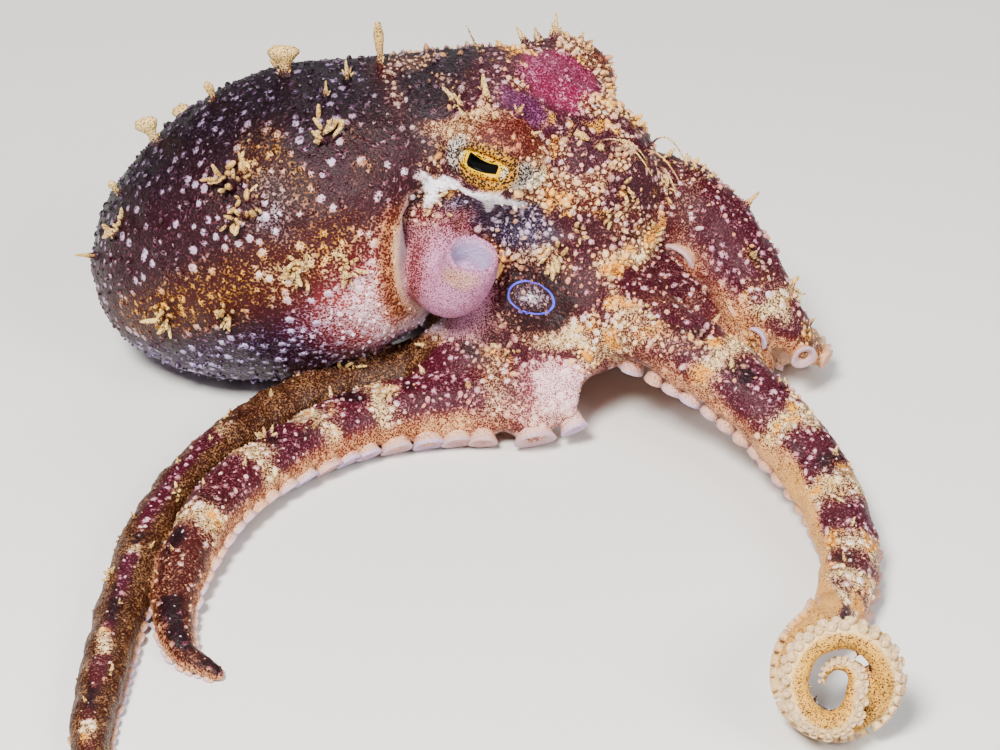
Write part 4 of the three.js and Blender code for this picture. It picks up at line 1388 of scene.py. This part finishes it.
head_sprigs = Sprigs()
for side, y in SIDE.items():
    # Spikes round each eye dome: the way forward, outward and upward, height and half-width.
    for (forward, outward, upward), length, half in (
            ((-0.65, 0.1, 0.75), 2.6, 0.6), ((-0.1, 0.15, 1), 2.8, 0.65),
            ((0.5, 0.1, 0.85), 2, 0.5), ((-0.9, 0.3, 0.3), 1.8, 0.5),
            ((-0.35, 0.5, 0.8), 1.6, 0.45), ((0.2, 0.5, 0.8), 1.2, 0.4),
            ((0.8, 0.2, 0.5), 1.4, 0.4), ((-0.8, -0.3, 0.6), 2.2, 0.55),
            ((-0.5, 0.3, 0.8), 1.8, 0.5), ((-0.9, 0, 0.5), 2.4, 0.6),
            ((-0.3, -0.2, 0.95), 1.6, 0.45), ((-1, 0.5, 0.1), 1.6, 0.45)):
        way = unit([forward, y * outward, upward])
        root, out = on_skin(dome_at(side) + way * EYE["dome"][side])
        spike(head_sprigs, root, way + out * 0.4, length, half)
    # A star of flesh under each eye, and the long branched one that hangs to the eyespot.
    root, out = on_skin((-14.2, MIDDLE_Y + y * 14, 26.6))
    sprig(head_sprigs, root, out, (-0.6, 0, -0.7), 2.4, lobes=5)
    root, out = on_skin((-1.8, MIDDLE_Y + y * 10.4, 21.4))
    down = unit(np.array([-0.35, 0, -0.95]))
    for k, reach in enumerate((4.6, 3.2, 2.4)):
        way = down + out * (0.3 + 0.2 * k) + (0.3 * k, 0, 0)
        head_sprigs.finger(root, way, reach, 0.42, (1.2, 0.9, 0.8, 0.95, 0.7, 0.35),
                           bend=-out * 0.15)
    sprig(head_sprigs, root, out, (0.5, 0, 0.8), 2.6, lobes=6)
for place in ((4.5, 24, 27.5), (6, 31, 25), (2.5, 22.4, 24.8), (7.6, 27, 21.6), (0.6, 20, 23.6),
              (3.6, 34.4, 25.4)):
    root, out = on_skin(place)
    sprig(head_sprigs, root, out, (0.2, 0, -1), 1.7, lobes=6)
# Two pale blunt warts before the right eye.
for foot, way, reach in (((-1.6, 23.4, 33.4), (1, 0.2, -0.5), 1.3),
                         ((0.2, 24.2, 32.2), (0.8, 0.3, -0.8), 1)):
    root, out = on_skin(foot)
    head_sprigs.finger(root + 0.25 * out, way, reach, 0.42, (0.9, 1.05, 1.1, 0.8, 0.5), tone=0.6)
# Hair-thin threads: foot, course to the tip, and how high the thread arches between them.
for foot, course, arch in (
        ((-13.8, 25.2, 39.5), (-1.6, -0.7, 4), 0), ((-0.4, 23.3, 31.9), (6.4, 2.9, -3.2), 2.6),
        ((0.6, 24.4, 31.6), (4.6, 1.6, -0.6), 1.8), ((4.6, 29.6, 30.4), (3.9, 1.8, -1.4), 2.2),
        ((3.4, 27.4, 30.4), (5, 0.4, -2.6), 1.6), ((6.2, 31, 28), (2.6, -0.6, -3), 1.2)):
    head_sprigs.thread(on_skin(foot)[0], course, arch, 0.11)
head_sprigs.build("papillae_head")

arm_sprigs = Sprigs()
for name, arm in ARMS.items():
    for k, s in enumerate(np.arange(9, arm.total - 16, 5.2)):
        i = int(np.searchsorted(arm.s, s))
        lean = (-1) ** k * rng.uniform(0.1, 0.7)
        way = arm.back[i] * math.cos(lean) + arm.side[i] * math.sin(lean)
        root, out = on_skin(arm.c[i] + way * arm.half[i])
        size = 0.36 * arm.half[i]
        if k % 3 == 0:
            sprig(arm_sprigs, root, out, arm.t[i], size * 1.3, lobes=5)
        else:
            spike(arm_sprigs, root, out, size, size * 0.35, small=2)
arm_sprigs.build("papillae_arms")


# ---- suckers -------------------------------------------------------------------------------
# Half-width and height along the outline of a sucker, from inside its stalk over the rim into
# the cup, and how far each ring has the rim's plain pale colour.
CUP = ((0.7, -0.5, 0), (0.84, 0.3, 0.1), (0.93, 0.62, 0.4), (1.02, 0.86, 1), (1.0, 0.97, 1),
       (0.86, 1.0, 1), (0.64, 0.86, 0.9), (0.44, 0.66, 0.8), (0.3, 0.4, 0.6), (0.0, 0.3, 0.4))


def suckers(name):
    points, faces, start = [], [], 0
    sides, count = 14, len(ROWS[name])
    angle = circle(sides)
    per = (len(CUP) - 1) * sides + 1
    for root, way, radius, height in ROWS[name]:
        a, b = (v[0] for v in frames(way[None]))
        wave = 1 + 0.04 * np.sin(angle * 3 + rng.random() * 6) + 0.03 * np.sin(angle * 5)
        for r, h, _ in CUP[:-1]:
            ripple = wave if r > 0.8 else 1.0
            points.append(root + way * h * height + radius * r * (
                (ripple * np.cos(angle))[:, None] * a + (ripple * np.sin(angle))[:, None] * b))
        points.append((root + way * CUP[-1][1] * height)[None])
        for part in shell_faces(len(CUP) - 1, sides):
            faces += (start + part).tolist()
        start += per
    points = np.vstack(points)
    points[:, 2] = np.maximum(points[:, 2], 0.02)
    obj = mesh_of("suckers_" + name, points, faces)
    roots = Spots(np.stack([row[0] for row in ROWS[name]]))
    pale = np.tile(np.append(np.repeat([c[2] for c in CUP[:-1]], sides), CUP[-1][2]), count)
    tone = take(paint_body(roots), np.arange(count), per)
    warm = np.repeat(rng.random(count), per)[:, None]
    tint = RIM_PINK * warm + RIM_LILAC * (1 - warm)
    if name == "r2":
        # The suckers low on the flank are sand-brown, partly their own colour and partly painted
        # shade; those of the coil cream.
        s = np.repeat(roots.s, per)
        tint = mix_to(tint, RIM_SAND_SHADE, 0.5 * band(s, 20, 62, 5))
        tint = mix_to(tint, RIM_CREAM, 0.7 * smoothstep(s, 60, 67))
    tone["under"] = mix_to(tone["under"], tint, pale)
    tone["chroma"] = mix_to(tone["chroma"], srgb("a86a50"), pale)
    tone["dark"] = np.minimum(tone["dark"], 0.45) * (1 - pale)
    tone["spots"] = np.zeros(len(pale))
    paint_attributes(obj, tone)
    disc = np.stack([np.cos(angle), np.sin(angle)], 1)
    local = np.vstack([disc * (1 - ring / len(CUP)) for ring in range(len(CUP) - 1)] + [[[0, 0]]])
    places = unwrap(roots)[:, None] + PATCH / 2 * local
    bake_map(obj, np.clip(places.reshape(-1, 2), 0, 1))
    dress(obj, SKIN_LOOK)


RIM_PINK, RIM_LILAC = srgb("cfa48e"), srgb("bfaecb")
# The sand rim tint is partly the flank suckers' own colour and partly painted shade.
RIM_SAND_SHADE, RIM_CREAM = srgb("b98e6c"), srgb("d8bc84")
for name in ARMS:
    suckers(name)


# ---- eyes ----------------------------------------------------------------------------------
def eye_material():
    """Bar pupil with a bright line round it, in a gold iris under a dark net."""
    m, tree, shader = material("octopus_eye", Roughness=0.2, Specular_IOR_Level=0.05)
    place = attribute(tree, "place", output=1)
    u, v = split(place)[:2]
    bow = u * u * (1 / PUPIL["half"] ** 2)
    taper = u.line(-0.09, 1.0)
    top = v / taper - bow * PUPIL["sag"] - (PUPIL["tall"] - PUPIL["sag"])
    foot = -(v / taper) + bow * PUPIL["sag"] * 0.4 - PUPIL["tall"]
    ends = abs(u) - PUPIL["half"]
    gap = ends.math("SMOOTH_MAX", top, 0.5).math("SMOOTH_MAX", foot, 0.5)
    p = place.node("ShaderNodeVectorMath", place, (0.0, 0.0, 7.0), operation="ADD")
    ring = cells(p, 3.7)
    side = (ends + abs(v) * -0.35).over(-0.25, 0.15)
    gold = mixed(ends.over(0.35, 0.8), srgb("e6b010"), srgb("e6dcc4"))
    away = gap.over(0.2, 0.75) * side.line(-1.0, 1.0)
    iris = mixed(away, gold, srgb("c4762a"))
    iris = mixed(ring.over(0.5, 0.36), iris, mixed(away, srgb("120c08"), srgb("3c150a")))
    colour = mixed(gap.over(0.12, 0.06), iris, srgb("e2b008"))
    colour = mixed(gap.over(0.03, -0.03), colour, srgb("020202"))
    tree.links.new(colour.socket, shader.inputs["Base Color"])
    return m


PUPIL = dict(half=1.75, tall=0.78, sag=0.2, deep=0.25)


def eyeball(side):
    """A ball with fine rings round its front; the pupil is sunk a little."""
    ahead, above, gaze = eye_axes(side)
    bands_out = np.concatenate([np.linspace(0.01, 0.95, 80), np.linspace(1.0, 3.13, 36)])
    angle = circle(144)
    out = np.sin(bands_out)[:, None, None]
    ways = (out * (np.cos(angle)[None, :, None] * ahead + np.sin(angle)[None, :, None] * above)
            + np.cos(bands_out)[:, None, None] * gaze)
    local = np.stack([ways @ ahead, ways @ above, ways @ gaze], -1) * EYE["radius"]
    local[..., 0] -= LID["ahead"]
    inside = (smoothstep(PUPIL["half"] - np.abs(local[..., 0]), -0.05, 0.15)
              * smoothstep(PUPIL["tall"] - np.abs(local[..., 1]), -0.05, 0.15)
              * (local[..., 2] > 0))
    rings = eye_at(side) + ways * (EYE["radius"] - PUPIL["deep"] * inside[..., None])
    points, faces = closed(rings)
    obj = mesh_of("eye_%s_ball" % side, points, faces.tolist())
    flat = np.vstack([local.reshape(-1, 3), local[0].mean(0), local[-1].mean(0)])
    obj.data.attributes.new("place", "FLOAT_VECTOR", "POINT").data.foreach_set(
        "vector", flat.astype(np.float32).ravel())
    dress(obj, EYE_LOOK)
    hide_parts("eye_" + side)


EYE_LOOK = eye_material()
for side in SIDE:
    eyeball(side)


# ---- floor, light and camera ---------------------------------------------------------------
HALF_FLOOR = 3000
corners = [(x * HALF_FLOOR, y * HALF_FLOOR, -SHIFT[2])
           for x, y in ((-1, -1), (1, -1), (1, 1), (-1, 1))]
floor = mesh_of("floor", np.array(corners), [[0, 1, 2, 3]])
floor.data.materials.append(material("floor_plain", Roughness=0.7,
                                     Base_Color=(*srgb("e6e4e0"), 1))[0])

world = bpy.data.worlds.new("studio")
bpy.context.scene.world = world
world.use_nodes = True
sky = world.node_tree.nodes["Background"].inputs
sky[0].default_value, sky[1].default_value = (0.9, 0.93, 1.0, 1), 0.12


LAMP_AIM = Vector(((-8 + SHIFT[0]) * MM, (10 + SHIFT[1]) * MM, 0.015))


def area_light(name, azimuth, elevation, distance, size, power, colour=(1, 1, 1)):
    """A square lamp in metres and watts that looks at the animal's middle."""
    place = LAMP_AIM + distance * Vector(from_angles(azimuth, elevation))
    data = bpy.data.lights.new(name, "AREA")
    data.size = size
    data.energy = power
    data.color = colour
    lamp = put(name, data)
    lamp.location = place
    lamp.rotation_euler = (LAMP_AIM - place).to_track_quat("-Z", "Y").to_euler()


area_light("key", 5, 50, 0.5, 0.12, 7.0, (1, 0.97, 0.93))
area_light("fill", 70, 35, 0.6, 0.25, 2.8, (0.95, 0.97, 1))
area_light("rim", 200, 40, 0.6, 0.3, 1.15)

CAMERA = dict(azimuth=25, elevation=30, lens=100, distance=291.67, aim=(0, 0, 16))
aim = (np.array(CAMERA["aim"]) + SHIFT) * MM
back = from_angles(CAMERA["azimuth"], CAMERA["elevation"])
camera_data = bpy.data.cameras.new("camera")
camera_data.lens = CAMERA["lens"]
camera_data.clip_start = 0.01
camera = put("camera", camera_data)
camera.location = aim + back * CAMERA["distance"] * MM
camera.rotation_euler = Vector(back).to_track_quat("Z", "Y").to_euler()
bpy.context.scene.camera = camera
